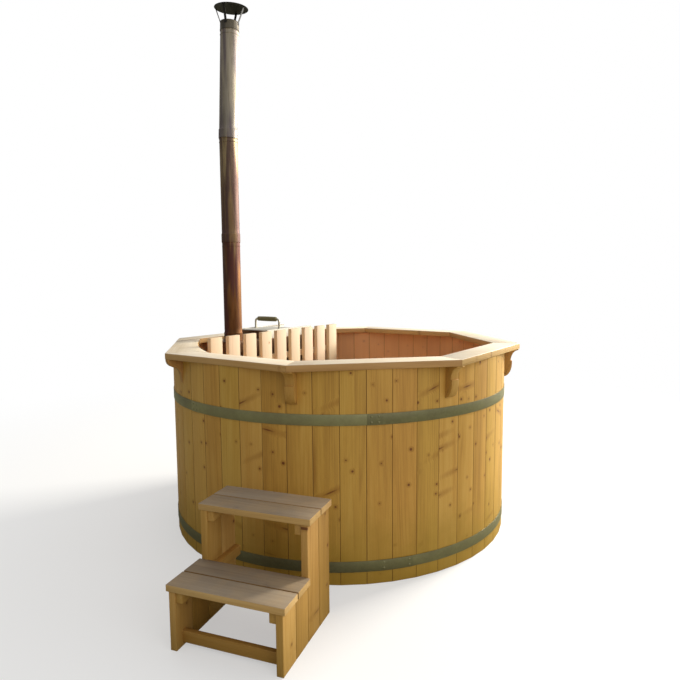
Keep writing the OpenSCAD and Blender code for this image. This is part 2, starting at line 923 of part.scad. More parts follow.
module corbels() {
    color("burlywood")
    for (k = [0 : sides - 1])
        difference() {
            rotate([0, 0, corner_bearing(k)])
                translate([wall_r, corbel_w / 2, stave_l])
                    rotate([90, 0, 0])
                        mirror([0, 1, 0])
                            linear_extrude(corbel_w)
                                polygon(k == 7 ? round_profile() : hollow_profile());
            wall_prism(wall_r + seat);
            corbel_screws_at(k, screw_fit);
            for (z = corbel_screw_z)
                outward(corner_bearing(k), corbel_screw_r, z)
                    cylinder(h = corbel_out, d = screw_head_d + 1, $fn = bore_fn);
            for (side = [k, (k + 1) % sides])
                vertex_screws_at(side, screw_fit);
        }
}

module corbel_screws() {
    color("silver")
    for (k = [0 : sides - 1])
        corbel_screws_at(k);
}

// ---- Guard ----

module guard_slats() {
    color("bisque")
    stove_frame()
        difference() {
            for (x = slat_xs)
                translate([x - slat_w / 2, slat_y, floor_top])
                    linear_extrude(slat_l)
                        rounded(slat_w, slat_t, 2);
            slat_screws(screw_fit);
        }
}

// Screws through the slats into the two rails
module slat_screws(grow = 0) {
    for (x = slat_xs, z = [top_rail_z, floor_top], side = [-1, 1])
        translate([x + side * slat_w / 4, slat_y, z + rail_h / 2 + side * slat_screw_rise])
            rotate([90, 0, 0])
                screw(slat_t + rail_t * 0.7, grow);
}

// Screws down through the bottom rail into the floor
module bottom_rail_screws(grow = 0) {
    for (x = [-2 : 2])
        translate([guard_shift + slat_pitch * (x + 0.5), rail_y + rail_t / 2, floor_top + rail_h])
            screw(rail_h + screw_bite, grow);
}

module guard_top_rail() {
    x0 = slat_xs[0] - slat_w / 2 - rail_past;
    x1 = slat_xs[slat_count - 1] + slat_w / 2 + rail_past;
    color("burlywood")
    stove_frame()
        difference() {
            translate([x0, rail_y, top_rail_z])
                plank(x1 - x0, rail_t, rail_h, 3);
            slat_screws(screw_fit);
        }
}

module guard_bottom_rail() {
    color("burlywood")
    intersection() {
        stove_frame()
            difference() {
                translate([-wall_r, rail_y, floor_top])
                    plank(2 * wall_r, rail_t, rail_h, 3);
                slat_screws(screw_fit);
                bottom_rail_screws(screw_fit);
            }
        wall_prism(wall_in - seat);
    }
}

module guard_posts() {
    color("burlywood")
    stove_frame()
        for (x = [slat_xs[0], guard_shift, slat_xs[slat_count - 1]])
            translate([x - post_w / 2, rail_y, floor_top + rail_h])
                linear_extrude(top_rail_z - floor_top - rail_h)
                    rounded(post_w, rail_t, 3);
}

module guard_screws() {
    color("silver")
    stove_frame() {
        slat_screws();
        bottom_rail_screws();
    }
}

// ---- Stove ----

module stove_walls() {
    h = stove_top - plate_t - stove_base;
    color("silver")
    stove_frame()
        translate([0, 0, stove_base]) {
            for (y = [stove_front, stove_back - plate_t])
                translate([stove_x0, y, 0])
                    cube([stove_l, plate_t, h]);
            for (x = [stove_x0, stove_x1 - plate_t])
                translate([x, inner_front + weld, 0])
                    cube([plate_t, inner_d - 2 * weld, h]);
            translate([inner_x0 + weld, inner_front + weld, 0])
                cube([inner_x1 - inner_x0 - 2 * weld, inner_d - 2 * weld, plate_t]);
        }
}

module stove_skids() {
    color("gray")
    stove_frame()
        for (y = [stove_front + skid_w / 2, stove_back - skid_w * 1.5])
            translate([stove_x0 + skid_w, y, floor_top])
                cube([stove_l - 2 * skid_w, skid_w, skid_h]);
}

module stove_top_plate() {
    color("lightgray")
    stove_frame()
        difference() {
            translate([stove_x0, stove_front, stove_top - plate_t])
                cube([stove_l, stove_d, plate_t]);
            translate([hatch_x - hatch_l / 2, stove_mid - hatch_d / 2, 0])
                cube([hatch_l, hatch_d, big]);
            translate([flue_x, stove_mid, 0])
                cylinder(r = flue_r - flue_wall, h = big);
        }
}

// Four upright bars round the hatch, the raised and level seat of the lid
module hatch_frame() {
    w = hatch_bar_w;
    color("gray")
    stove_frame()
        translate([hatch_x, stove_mid, stove_top]) {
            for (side = [-1, 1]) {
                translate([-hatch_l / 2 - w, side * (hatch_d + w) / 2 - w / 2, 0])
                    cube([hatch_l + 2 * w, w, hatch_bar_h]);
                translate([side * (hatch_l + w) / 2 - w / 2, weld - hatch_d / 2, 0])
                    cube([w, hatch_d - 2 * weld, hatch_bar_h]);
            }
        }
}

module stove_lid() {
    corner = 6;
    color("gainsboro")
    stove_frame()
        translate([hatch_x - lid_l / 2, stove_mid - lid_d / 2, lid_z])
            linear_extrude(lid_t)
                rounded(lid_l, lid_d, corner);
}

// The handle's bent rod with its two round feet
module handle_rod() {
    half = handle_l / 2 - rod_d / 2;
    color("dimgray")
    stove_frame()
        translate([hatch_x, stove_mid, 0]) {
            translate([0, half - rod_bend, rod_z])
                rotate([90, 0, 0])
                    cylinder(h = 2 * (half - rod_bend), d = rod_d, $fn = bore_fn);
            for (flip = [0, 1])
                mirror([0, flip, 0])
                    translate([0, half, 0]) {
                        translate([0, 0, lid_top])
                            cylinder(h = rod_z - rod_bend - lid_top, d = rod_d, $fn = bore_fn);
                        translate([0, -rod_bend, rod_z - rod_bend])
                            rotate([90, 0, 90])
                                rotate_extrude(angle = 90)
                                    translate([rod_bend, 0])
                                        circle(d = rod_d, $fn = bore_fn);
                        translate([0, 0, lid_top])
                            cylinder(h = foot_h, d = foot_d, $fn = bore_fn);
                    }
        }
}

module handle_grip() {
    bore = rod_d / 2 + grip_fit;
    r = grip_d / 2;
    nose = 5;
    color("olive")
    stove_frame()
        translate([hatch_x, stove_mid + grip_l / 2, rod_z])
            rotate([90, 0, 0])
                rotate_extrude()
                    polygon(concat(
                        [[bore, 0]],
                        arc_points(r - nose, nose, nose, nose, 270, 360, 6),
                        arc_points(r - nose, grip_l - nose, nose, nose, 0, 90, 6),
                        [[bore, grip_l]]
                    ));
}

// Two angle rails that hold the lid down while it slides
module lid_guides() {
    x0 = hatch_x - lid_l / 2;
    web_h = lid_top + slide_fit - stove_top;
    color("gray")
    stove_frame()
        for (flip = [0, 1])
            translate([x0, stove_mid, stove_top])
                mirror([0, flip, 0])
                    translate([0, stove_d / 2 - guide_t, 0]) {
                        cube([stove_x1 - x0, guide_t, web_h + guide_t]);
                        translate([0, guide_t - guide_lip, web_h])
                            cube([stove_x1 - x0, guide_lip, guide_t]);
                    }
}

// Hanging plate that turns the smoke down before it reaches the flue
module stove_baffle() {
    color("dimgray")
    stove_frame()
        translate([baffle_x - plate_t / 2, inner_front, stove_base + baffle_gap])
            cube([plate_t, inner_d, stove_top - plate_t - stove_base - baffle_gap]);
}

module fire_grate() {
    x0 = baffle_x;
    x1 = inner_x1 - grate_fit;
    y0 = inner_front + grate_fit;
    y1 = inner_back - grate_fit;
    pitch = grate_slot_w + grate_bar_w;
    slots = floor((x1 - x0 - 2 * grate_bar_w) / pitch);
    color("dimgray")
    stove_frame()
        difference() {
            translate([x0, y0, stove_base + grate_z])
                cube([x1 - x0, y1 - y0, grate_t]);
            for (i = [0 : slots - 1])
                translate([x0 + grate_bar_w + i * pitch, y0 + 1.5 * grate_bar_w, stove_base])
                    cube([grate_slot_w, y1 - y0 - 3 * grate_bar_w, big]);
        }
}

module grate_ledges() {
    color("gray")
    stove_frame()
        for (y = [inner_front, inner_back - ledge_w])
            translate([baffle_x, y, stove_base + grate_z - ledge_t])
                cube([inner_x1 - baffle_x, ledge_w, ledge_t]);
}

// Puts its children at each anchor bracket, with +X away from the stove's end
module bracket_spots() {
    stove_frame()
        for (flip = [0, 1], y = [stove_front + bracket_inset, stove_back - bracket_inset])
            translate([flip ? stove_x0 : stove_x1, y, floor_top])
                mirror([flip, 0, 0])
                    children();
}

module stove_brackets() {
    color("gray")
    difference() {
        bracket_spots() {
            translate([0, -bracket_w / 2, 0])
                cube([bracket_l, bracket_w, plate_t]);
            translate([0, -bracket_w / 2, 0])
                cube([plate_t, bracket_w, bracket_l + skid_h]);
        }
        bracket_screws_all(screw_fit);
    }
}

module bracket_screws_all(grow = 0) {
    bracket_spots()
        translate([bracket_hole, 0, plate_t])
            screw(plate_t + screw_bite, grow);
}

module bracket_screws() {
    color("silver")
    bracket_screws_all();
}

// ---- Flue ----

module at_flue() {
    stove_frame()
        translate([flue_x, stove_mid, 0])
            children();
}

// Leans its children by an angle about height z on the flue's axis
module lean(z, angle) {
    translate([0, 0, z])
        rotate([0, 0, lean_bearing - side_a])
            rotate([0, angle, 0])
                rotate([0, 0, side_a - lean_bearing])
                    translate([0, 0, -z])
                        children();
}

// Frame of the top pipe, which leans about the middle of its lower joint
module top_frame() {
    at_flue()
        lean(joint_2 + socket_l / 2, pipe_lean)
            children();
}

// Outline of a half-round bead at height z on a pipe
function bead(z) = arc_points(flue_r, z, bead_r, bead_r, -90, 90, 8);

// A flue pipe from z0, where its socket stands over the piece below, to z1, where
// the next socket rests on a bead whose middle lies lower by stop
module flue_pipe(z0, z1, stop) {
    inner = flue_r - flue_wall;
    top = z1 + socket_l - pipe_lap;
    neck = z0 + socket_l;
    rotate_extrude()
        polygon(concat(
            [[socket_r, z0], [socket_r, neck], [flue_r, neck + flare_l]],
            bead(z1 - bead_drop),
            bead(z1 - stop),
            [[flue_r, top], [inner, top], [inner, neck + flare_l]],
            [[socket_r - flue_wall, neck], [socket_r - flue_wall, z0]]
        ));
}

module flue_spigot() {
    color("gray")
    at_flue()
        translate([0, 0, stove_top])
            difference() {
                cylinder(r = flue_r, h = spigot_l - pipe_lap);
                translate([0, 0, -1])
                    cylinder(r = flue_r - flue_wall, h = spigot_l + 2);
            }
}

module lower_flue_pipe() {
    color("saddlebrown")
    at_flue()
        flue_pipe(stove_top + seat, joint_1, sqrt(stop_r * stop_r - socket_fit * socket_fit));
}

module middle_flue_pipe() {
    color("rosybrown")
    at_flue()
        flue_pipe(joint_1, joint_2, stop_r + socket_r * sin(pipe_lean));
}

module top_flue_pipe() {
    color("silver")
    top_frame()
        flue_pipe(joint_2, joint_3, stop_r);
}

// Collar of the cap, which slips over the top pipe down to its stop bead
module cap_collar() {
    color("silver")
    top_frame()
        translate([0, 0, joint_3])
            difference() {
                cylinder(r = collar_r, h = collar_l);
                translate([0, 0, -1])
                    cylinder(r = flue_r + collar_fit, h = collar_l + 2);
            }
}

// Frame of the cap, which leans a little more than the top pipe
module cap_frame() {
    top_frame()
        lean(cap_z, cap_lean)
            children();
}

// Four flat straps from the collar out to the cap, cut off under its cone
module cap_straps() {
    r0 = collar_r + seat;
    r1 = r0 + strap_spread;
    z1 = joint_3 + collar_l;
    color("gray")
    difference() {
        top_frame()
            for (i = [0 : 3])
                rotate([0, 0, strap_turn + 90 * i])
                    translate([0, strap_w / 2, 0])
                        rotate([90, 0, 0])
                            linear_extrude(strap_w)
                                polygon([
                                    [r0, z1 - strap_foot], [r0 + strap_t, z1 - strap_foot],
                                    [r0 + strap_t, z1], [r1 + strap_t, cap_z],
                                    [r1 + strap_t, cap_z + cap_h], [r1, cap_z + cap_h],
                                    [r1, cap_z], [r0, z1]
                                ]);
        cap_frame()
            translate([0, 0, cap_z - seat])
                difference() {
                    cylinder(d = 2 * cap_d, h = 2 * cap_h);
                    cylinder(d1 = cap_d, d2 = 0, h = cap_h);
                }
    }
}

// Shallow conical cap of sheet, closed at its top
module rain_cap() {
    r = cap_d / 2;
    color("darkslategray")
    cap_frame()
        translate([0, 0, cap_z])
            rotate_extrude()
                polygon([[0, cap_h], [r, 0], [r, cap_wall], [0, cap_h + cap_wall]]);
}

// ---- Drain ----

module drain_body() {
    color("silver")
    translate([0, -drain_y, 0])
        difference() {
            union() {
                translate([0, 0, drain_end])
                    cylinder(r = drain_r, h = drain_spigot_l + 1);
                translate([0, 0, drain_end + drain_spigot_l])
                    cylinder(d = drain_thread_d, h = drain_top - drain_end - drain_spigot_l);
                translate([0, 0, drain_seat_z])
                    cylinder(d = drain_flange_d, h = drain_flange_t);
            }
            cylinder(r = drain_bore_r, h = big);
        }
}

module drain_gasket() {
    color("black")
    translate([0, -drain_y, floor_top])
        difference() {
            cylinder(d = drain_flange_d, h = gasket_t);
            translate([0, 0, -1])
                cylinder(d = drain_thread_d + 2 * drain_fit, h = gasket_t + 2);
        }
}

module drain_nut() {
    color("silver")
    translate([0, -drain_y, bearer_h - drain_nut_h])
        difference() {
            cylinder(d = drain_nut_d, h = drain_nut_h, $fn = 6);
            translate([0, 0, -1])
                cylinder(d = drain_thread_d + 0.4, h = drain_nut_h + 2);
        }
}

// Tapered plug with a flat lip and a wire ring
module drain_plug() {
    z = drain_top + plug_fit;
    r = drain_bore_r - plug_fit;
    color("black")
    translate([0, -drain_y, z]) {
        translate([0, 0, -plug_depth])
            cylinder(r1 = r - plug_taper, r2 = r, h = plug_depth);
        cylinder(d = plug_lip_d, h = plug_lip_t);
        translate([0, 0, plug_lip_t + plug_ring_d / 2])
            rotate([90, 0, 0])
                rotate_extrude()
                    translate([plug_ring_d / 2, 0])
                        circle(d = ring_wire, $fn = 24);
    }
}

// ---- Bench ----

// Corners of the rim's outline that carry a bench bearer
bench_corners = [7, 0, 1, 2, 3, 4];

// Screws through the bench boards into the bearer at corner i of the row
module bench_screws_at(i, grow = 0) {
    facing = concat(i > 0 ? [-1] : [], i < len(bench_corners) - 1 ? [1] : []);
    for (row = bench_rows, side = facing, part = [0.25, 0.75])
        rotate([0, 0, corner_bearing(bench_corners[i])])
            translate([(row + part * bench_board_w) / cos(half_side), side * bench_screw_y,
                bench_top])
                screw(bench_t + screw_bite, grow);
}

module bench_screws_all(grow = 0) {
    for (i = [0 : len(bench_corners) - 1])
        bench_screws_at(i, grow);
}

// Screws through the blocks into the wall at corner k
module block_screws_at(k, grow = 0) {
    for (side = [-1, 1])
        rotate([0, 0, corner_bearing(k)])
            translate([wall_in - block_d, side * block_screw_y, block_screw_z])
                rotate([0, -90, 0])
                    screw(block_d + screw_bite, grow);
}

module bench_boards() {
    color("tan")
    for (k = [0 : 4], row = bench_rows)
        difference() {
            rotate([0, 0, side_bearing(k)])
                translate([0, 0, bench_top - bench_t])
                    intersection() {
                        linear_extrude(bench_t)
                            polygon([for (x = [row, row + bench_board_w], side = [-1, 1])
                                [x, (x == row ? side : -side)
                                    * (x * slope - bench_joint_gap / 2 / cos(half_side))]]);
                        rotate([90, 0, 0])
                            translate([row, 0, -rim_out])
                                linear_extrude(2 * rim_out)
                                    rounded(bench_board_w, bench_t, bench_round);
                    }
            bench_screws_all(screw_fit);
        }
}

module bench_bearers() {
    color("burlywood")
    for (i = [0 : len(bench_corners) - 1])
        difference() {
            intersection() {
                rotate([0, 0, corner_bearing(bench_corners[i])])
                    translate([bench_in / cos(half_side), -bench_bearer_w / 2, bench_bearer_z])
                        cube([wall_r - bench_in, bench_bearer_w, bench_bearer_h]);
                wall_prism(wall_in - seat);
            }
            bench_screws_at(i, screw_fit);
        }
}

module bench_legs() {
    color("burlywood")
    for (k = bench_corners)
        rotate([0, 0, corner_bearing(k)])
            translate([bench_in / cos(half_side), -bench_bearer_w / 2, floor_top])
                linear_extrude(bench_bearer_z - floor_top)
                    rounded(bench_leg_d, bench_bearer_w, 3);
}

module bench_blocks() {
    color("tan")
    for (k = bench_corners)
        difference() {
            intersection() {
                rotate([0, 0, corner_bearing(k)])
                    translate([wall_in - block_d, -block_w / 2, bench_bearer_z - block_h])
                        cube([2 * block_d, block_w, block_h]);
                wall_prism(wall_in - seat);
            }
            block_screws_at(k, screw_fit);
        }
}

module bench_screws() {
    color("silver") {
        bench_screws_all();
        for (k = bench_corners)
            block_screws_at(k);
    }
}

// ---- Steps ----

module step_frame() {
    translate([step_x, step_y, 0])
        rotate([0, 0, step_turn])
            children();
}

// Screws through the treads into the cleats
module tread_screws(grow = 0) {
    for (i = [0 : 3], x = cleat_x, part = [0.25, 0.75])
        translate([x + cleat_w / 2, tread_boards[i] + part * board_d,
            i < 2 ? lower_tread_z : upper_tread_z])
            screw(tread_t + screw_bite, grow);
}

// Screws through the cleats into the side boards
module cleat_screws(grow = 0) {
    for (i = [0 : 3], top = i < 2 ? [lower_tread_z] : [lower_tread_z, upper_tread_z],
        flip = [0, 1])
        translate([flip ? cleat_x[1] : cleat_x[0] + cleat_w, side_ys[i] + side_board_w / 2,
            top - tread_t - cleat_h * 0.7])
            rotate([0, flip ? -90 : 90, 0])
                screw(cleat_w + side_t * 0.7, grow);
}

// Screws through the side boards into the stretcher's ends
module stretcher_screws(grow = 0) {
    for (flip = [0, 1])
        translate([flip ? side_x[1] + side_t : side_x[0], stretcher_back + stretcher_t / 2,
            stretcher_z + stretcher_h / 2])
            rotate([0, flip ? 90 : -90, 0])
                screw(side_t + screw_bite, grow);
}

module step_side_boards() {
    color("tan")
    step_frame()
        difference() {
            for (x = side_x, i = [0 : 3])
                translate([x, side_ys[i], 0])
                    linear_extrude((i < 2 ? lower_tread_z : upper_tread_z) - tread_t)
                        rounded(side_t, side_board_w, 2);
            cleat_screws(screw_fit);
            stretcher_screws(screw_fit);
        }
}

// The two boards of one tread
module tread(first, top) {
    color("rosybrown")
    step_frame()
        difference() {
            for (i = [first, first + 1])
                translate([0, tread_boards[i], top - tread_t])
                    plank(tread_w, board_d, tread_t, tread_round);
            tread_screws(screw_fit);
        }
}

module lower_tread() {
    tread(0, lower_tread_z);
}

module upper_tread() {
    tread(2, upper_tread_z);
}

module step_cleats() {
    color("tan")
    step_frame()
        difference() {
            for (x = cleat_x) {
                translate([x, side_ys[0] + 6, lower_tread_z - tread_t - cleat_h])
                    cube([cleat_w, side_ys[3] + side_board_w - side_ys[0] - 12, cleat_h]);
                translate([x, side_ys[2] + 6, upper_tread_z - tread_t - cleat_h])
                    cube([cleat_w, side_ys[3] + side_board_w - side_ys[2] - 12, cleat_h]);
            }
            tread_screws(screw_fit);
            cleat_screws(screw_fit);
        }
}

module step_stretcher() {
    color("tan")
    step_frame()
        difference() {
            translate([side_x[0] + side_t, stretcher_back, stretcher_z])
                plank(side_x[1] - side_x[0] - side_t, stretcher_t, stretcher_h, 2);
            stretcher_screws(screw_fit);
        }
}

module step_screws() {
    color("silver")
    step_frame() {
        tread_screws();
        cleat_screws();
        stretcher_screws();
    }
}

staves();
floor_boards();
floor_bearers();
upper_hoop();
lower_hoop();
hoop_rivets();
hoop_lugs();
hoop_draw_bolts();
rim_board(0, mitred);  // rim_front_left_board
rim_board(1, mitred);  // rim_front_board
rim_board(2, mitred);  // rim_front_right_board
rim_board(3, mitred);  // rim_right_board
rim_board(4, mitred);  // rim_back_right_board
rim_board(5, mitred);  // rim_back_board
rim_board(6, run_through);  // rim_back_left_board
rim_corner_board();
rim_screws();
corbels();
corbel_screws();
guard_slats();
guard_top_rail();
guard_bottom_rail();
guard_posts();
guard_screws();
stove_walls();
stove_skids();
stove_top_plate();
hatch_frame();
stove_lid();
handle_rod();
handle_grip();
lid_guides();
stove_baffle();
fire_grate();
grate_ledges();
stove_brackets();
bracket_screws();
flue_spigot();
lower_flue_pipe();
middle_flue_pipe();
top_flue_pipe();
cap_collar();
cap_straps();
rain_cap();
drain_body();
drain_gasket();
drain_nut();
drain_plug();
bench_boards();
bench_bearers();
bench_legs();
bench_blocks();
bench_screws();
step_side_boards();
lower_tread();
upper_tread();
step_cleats();
step_stretcher();
step_screws();
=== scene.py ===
"""Looks for a coopered wooden hot tub with a wood stove, a flue and a pair of steps.

The packed model is loaded as the fixed frame. Each operator below works out one group of
pieces with numpy, in metres and in the model's own frame, and gives it its finish.
"""

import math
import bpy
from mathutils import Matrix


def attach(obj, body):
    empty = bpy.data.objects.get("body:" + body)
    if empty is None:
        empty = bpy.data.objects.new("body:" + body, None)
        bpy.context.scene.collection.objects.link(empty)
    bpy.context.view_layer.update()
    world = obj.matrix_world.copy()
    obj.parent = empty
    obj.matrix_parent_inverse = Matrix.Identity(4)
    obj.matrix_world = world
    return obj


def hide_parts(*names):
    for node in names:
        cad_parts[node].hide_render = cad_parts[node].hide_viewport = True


bl_info = {
    "name": "Wooden Hot Tub",
    "version": (1, 0, 0),
    "blender": (4, 5, 0),
    "location": "View3D > Sidebar > Hot Tub",
    "description": "Builds a coopered wooden hot tub with its stove, flue and steps",
    "category": "Add Mesh",
}

import bpy
import numpy as np
from bpy.props import FloatProperty, FloatVectorProperty, IntProperty, PointerProperty
from bpy.types import Operator, Panel, PropertyGroup
from mathutils import Matrix

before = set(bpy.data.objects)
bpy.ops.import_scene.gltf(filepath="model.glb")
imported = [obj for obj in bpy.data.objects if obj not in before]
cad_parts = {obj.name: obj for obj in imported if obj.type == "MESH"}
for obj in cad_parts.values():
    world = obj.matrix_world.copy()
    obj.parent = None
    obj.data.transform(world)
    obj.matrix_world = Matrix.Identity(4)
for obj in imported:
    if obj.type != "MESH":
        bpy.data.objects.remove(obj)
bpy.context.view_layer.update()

# The rim has eight sides, the first at the front left. The guard and the stove lie in a
# frame that is turned by one side's angle, and in it the stove's middle is STOVE_BACK
# metres behind the tub's axis.
SIDES = 8
SIDE_A = math.radians(360 / SIDES)
FIRST_SIDE = math.radians(135)
SLOPE = math.tan(SIDE_A / 2)
STOVE_BACK = 0.685
UP = np.array([0.0, 0.0, 1.0])


def linear(code):
    """Turns an sRGB hex colour into linear red, green, blue and alpha."""
    srgb = np.array([int(code[i:i + 2], 16) for i in (1, 3, 5)]) / 255
    low = srgb / 12.92
    high = ((srgb + 0.055) / 1.055) ** 2.4
    return (*np.where(srgb <= 0.04045, low, high).tolist(), 1.0)


def colour(name, code, description):
    """A colour property whose default is an sRGB hex value."""
    return FloatVectorProperty(name=name, description=description, subtype="COLOR", size=4,
                               min=0, max=1, default=linear(code))


def length(name, default, description):
    """A length property in metres."""
    return FloatProperty(name=name, description=description, unit="LENGTH", default=default,
                         min=0)


# ---- Sizes and colours that a user would change ----

class TubWall(PropertyGroup):
    """Sizes and colours of the coopered wall and its floor"""
    staves: IntProperty(name="Staves", description="Number of staves round the wall",
                        default=50, min=12)
    turn: FloatProperty(name="Turn", description="Bearing of the first stave's middle",
                        default=math.radians(4.56), subtype="ANGLE")
    radius: length("Radius", 1.029, "Distance from the axis to a stave's outer face")
    thickness: length("Thickness", 0.042, "Thickness of a stave")
    height: length("Height", 1.066, "Length of a stave")
    bevel: length("Bevel", 0.0025, "Bevel along a stave's outer edges")
    floor: length("Floor", 0.112, "Height of the floor's top")
    wood: colour("Wood", "#CE9D44", "Colour of the oiled staves")
    wood_dark: colour("Dark wood", "#9A6722", "Colour of the darkest staves")
    wood_light: colour("Light wood", "#E4BB62", "Colour of the lightest staves")


class TubHoops(PropertyGroup):
    """Sizes and colour of the two hoops"""
    width: length("Width", 0.055, "Width of a hoop")
    thickness: length("Thickness", 0.002, "Thickness of a hoop")
    radius: length("Radius", 1.0313, "Inner radius of a hoop")
    lower: length("Lower hoop", 0.066, "Height of the lower hoop's bottom edge")
    upper: length("Upper hoop", 0.798, "Height of the upper hoop's bottom edge")
    # the zinc's olive-green cast is a painted reflection of green surroundings
    zinc: colour("Zinc", "#8E8A66", "Colour of the weathered zinc")


class TubRim(PropertyGroup):
    """Sizes and colour of the rim and the corbels"""
    reach: length("Reach", 1.034, "Distance from the axis to the rim's outer edge")
    width: length("Width", 0.145, "Width of a rim board")
    thickness: length("Thickness", 0.034, "Thickness of a rim board")
    corner: length("Corner board", 0.235, "Width of the wide corner board")
    curve: length("Curve", 1.960, "Radius of the corner board's inner edge")
    corbel: length("Corbel", 0.048, "Width of a corbel")
    wood: colour("Wood", "#C4995C", "Colour of the rim boards' edges")


class TubGuard(PropertyGroup):
    """Sizes and colour of the slatted guard"""
    slats: IntProperty(name="Slats", description="Number of slats", default=9, min=2)
    width: length("Width", 0.096, "Width of a slat")
    thickness: length("Thickness", 0.028, "Thickness of a slat")
    pitch: length("Pitch", 0.149, "Distance between two slats' middles")
    top: length("Top", 1.150, "Height of the slats' tops")
    wood: colour("Wood", "#D2B995", "Colour of the slats")


class TubStove(PropertyGroup):
    """Sizes and colour of the stove"""
    top: length("Top", 1.088, "Height of the stove's top plate")
    collar: length("Collar", 0.050, "Height of the raised seat of the lid")
    lid: length("Lid", 0.300, "Length of the fuel lid")
    handle: length("Handle", 0.238, "Length of the lid's handle")
    rise: length("Rise", 0.083, "Height of the handle above the lid")
    metal: colour("Aluminium", "#D0CCC0", "Colour of the mill-finish aluminium")


class TubFlue(PropertyGroup):
    """Sizes and colours of the flue and its cap"""
    diameter: length("Diameter", 0.117, "Outer diameter of the pipes")
    lower: length("Lower pipe", 0.653, "Visible length of the lower pipe")
    upper: length("Upper pipes", 0.667, "Visible length of the other pipes")
    lean: FloatProperty(name="Lean", description="Lean of the top pipe",
                        default=math.radians(2.3), subtype="ANGLE")
    cap: length("Cap", 0.216, "Diameter of the rain cap")
    steel: colour("Steel", "#9A9287", "Colour of clean rolled steel")
    straw: colour("Straw tint", "#97805F", "Colour of steel that has been warm")
    brown: colour("Brown tint", "#6B4A36", "Colour of steel that has been hot")


class TubBench(PropertyGroup):
    """Sizes and colour of the bench"""
    top: length("Top", 0.450, "Height of the bench's top")
    board: length("Board", 0.145, "Width of a bench board")
    wood: colour("Wood", "#C39B68", "Colour of the bench")


class TubSteps(PropertyGroup):
    """Sizes and colours of the steps"""
    width: length("Width", 0.530, "Width of a tread")
    depth: length("Depth", 0.242, "Depth of a tread")
    lower: length("Lower tread", 0.279, "Height of the lower tread's top")
    upper: length("Upper tread", 0.527, "Height of the upper tread's top")
    wood: colour("Wood", "#BA8C42", "Colour of the steps' sides")
    tread: colour("Tread", "#C9A064", "Colour of the treads' edges")


# ---- Surfaces ----

def unit(v):
    """A vector, or each row of an array of them, divided by its own length."""
    v = np.asarray(v, float)
    return v / np.linalg.norm(v, axis=-1, keepdims=True)


def bearing(a):
    """Outward and sideways unit vectors at angles a round the Z axis: (cos a, sin a, 0) and
    (-sin a, cos a, 0)."""
    a = np.asarray(a, float)
    zero = np.zeros_like(a)
    out = np.stack([np.cos(a), np.sin(a), zero], -1)
    return out, np.stack([-np.sin(a), np.cos(a), zero], -1)


def arc(cx, cy, rx, ry, a0, a1, n):
    """Points of an elliptical arc: the centre plus (rx cos a, ry sin a), a in degrees."""
    a = np.radians(np.linspace(a0, a1, n + 1))
    return np.stack([cx + rx * np.cos(a), cy + ry * np.sin(a)], -1)


def eased(x):
    """An S-shaped step from 0 to 1: 3 x^2 - 2 x^3, x being held between 0 and 1."""
    x = np.clip(x, 0, 1)
    return x ** 2 * (3 - 2 * x)


def half_chord(radius, off):
    """Half a circle's chord at a distance x off its middle: sqrt(r^2 - x^2), and 10 mm where
    there is no chord."""
    return np.sqrt(np.maximum(radius ** 2 - off ** 2, 0.010 ** 2))


def rounded(w, h, r, n=3):
    """Outline of a w by h rectangle round the origin whose corners are quarter circles of
    radius r: four arcs of n steps, counterclockwise."""
    x, y = w / 2 - r, h / 2 - r
    return np.concatenate([arc(x, y, r, r, 0, 90, n), arc(-x, y, r, r, 90, 180, n),
                           arc(-x, -y, r, r, 180, 270, n), arc(x, -y, r, r, 270, 360, n)])


def outline_normals(outline):
    """Outward normals of a counterclockwise outline: the mean of its two edges' normals at
    each point, lengthened so that an inset of d moves both edges by d. At a sharp corner,
    where the sum of the two normals is short, the length has a limit."""
    shortest = 0.4
    step = np.roll(outline, -1, 0) - outline
    edge = unit(np.stack([step[:, 1], -step[:, 0]], -1))
    both = edge + np.roll(edge, 1, 0)
    return 2 * both / np.maximum((both ** 2).sum(-1, keepdims=True), shortest)


def ends(edge, n=2):
    """The outlines that round a board's ends: which end each belongs to, 0 or 1, how far it
    lies up the board from that end, and its inset, for a quarter circle of radius edge."""
    a = np.radians(np.linspace(0, 90, n + 1))
    near, shrink = edge * (1 - np.cos(a)), edge * (1 - np.sin(a))
    share = np.repeat([0.0, 1.0], n + 1)
    return share, np.concatenate([near, -near[::-1]]), np.concatenate([shrink, shrink[::-1]])


def tube_faces(count, n, m, closed_path=False):
    """Faces of `count` tubes, each n outlines of m points: a square between neighbouring
    points of neighbouring outlines, and a flat cap on the first and the last outline."""
    row = np.arange(n if closed_path else n - 1)[:, None] * m
    spot = np.arange(m)[None, :]
    next_row, next_spot = (row + m) % (n * m), (spot + 1) % m
    quad = np.stack([row + spot, row + next_spot, next_row + next_spot, next_row + spot], -1)
    start = (np.arange(count) * n * m)[:, None]
    faces = [(quad.reshape(-1, 4)[None] + start[..., None]).reshape(-1, 4)]
    if not closed_path:
        cap = np.arange(m)[None, :]
        faces += [start + cap[:, ::-1], start + cap + (n - 1) * m]
    return faces


def volume(points, faces):
    """Signed volume of a closed mesh: a sixth of the sum of a . (b x c) over a fan of
    triangles on every face."""
    total = 0.0
    for f in faces:
        for i in range(1, f.shape[1] - 1):
            a, b, c = points[f[:, 0]], points[f[:, i]], points[f[:, i + 1]]
            total += np.einsum("ij,ij->i", a, np.cross(b, c)).sum()
    return total / 6


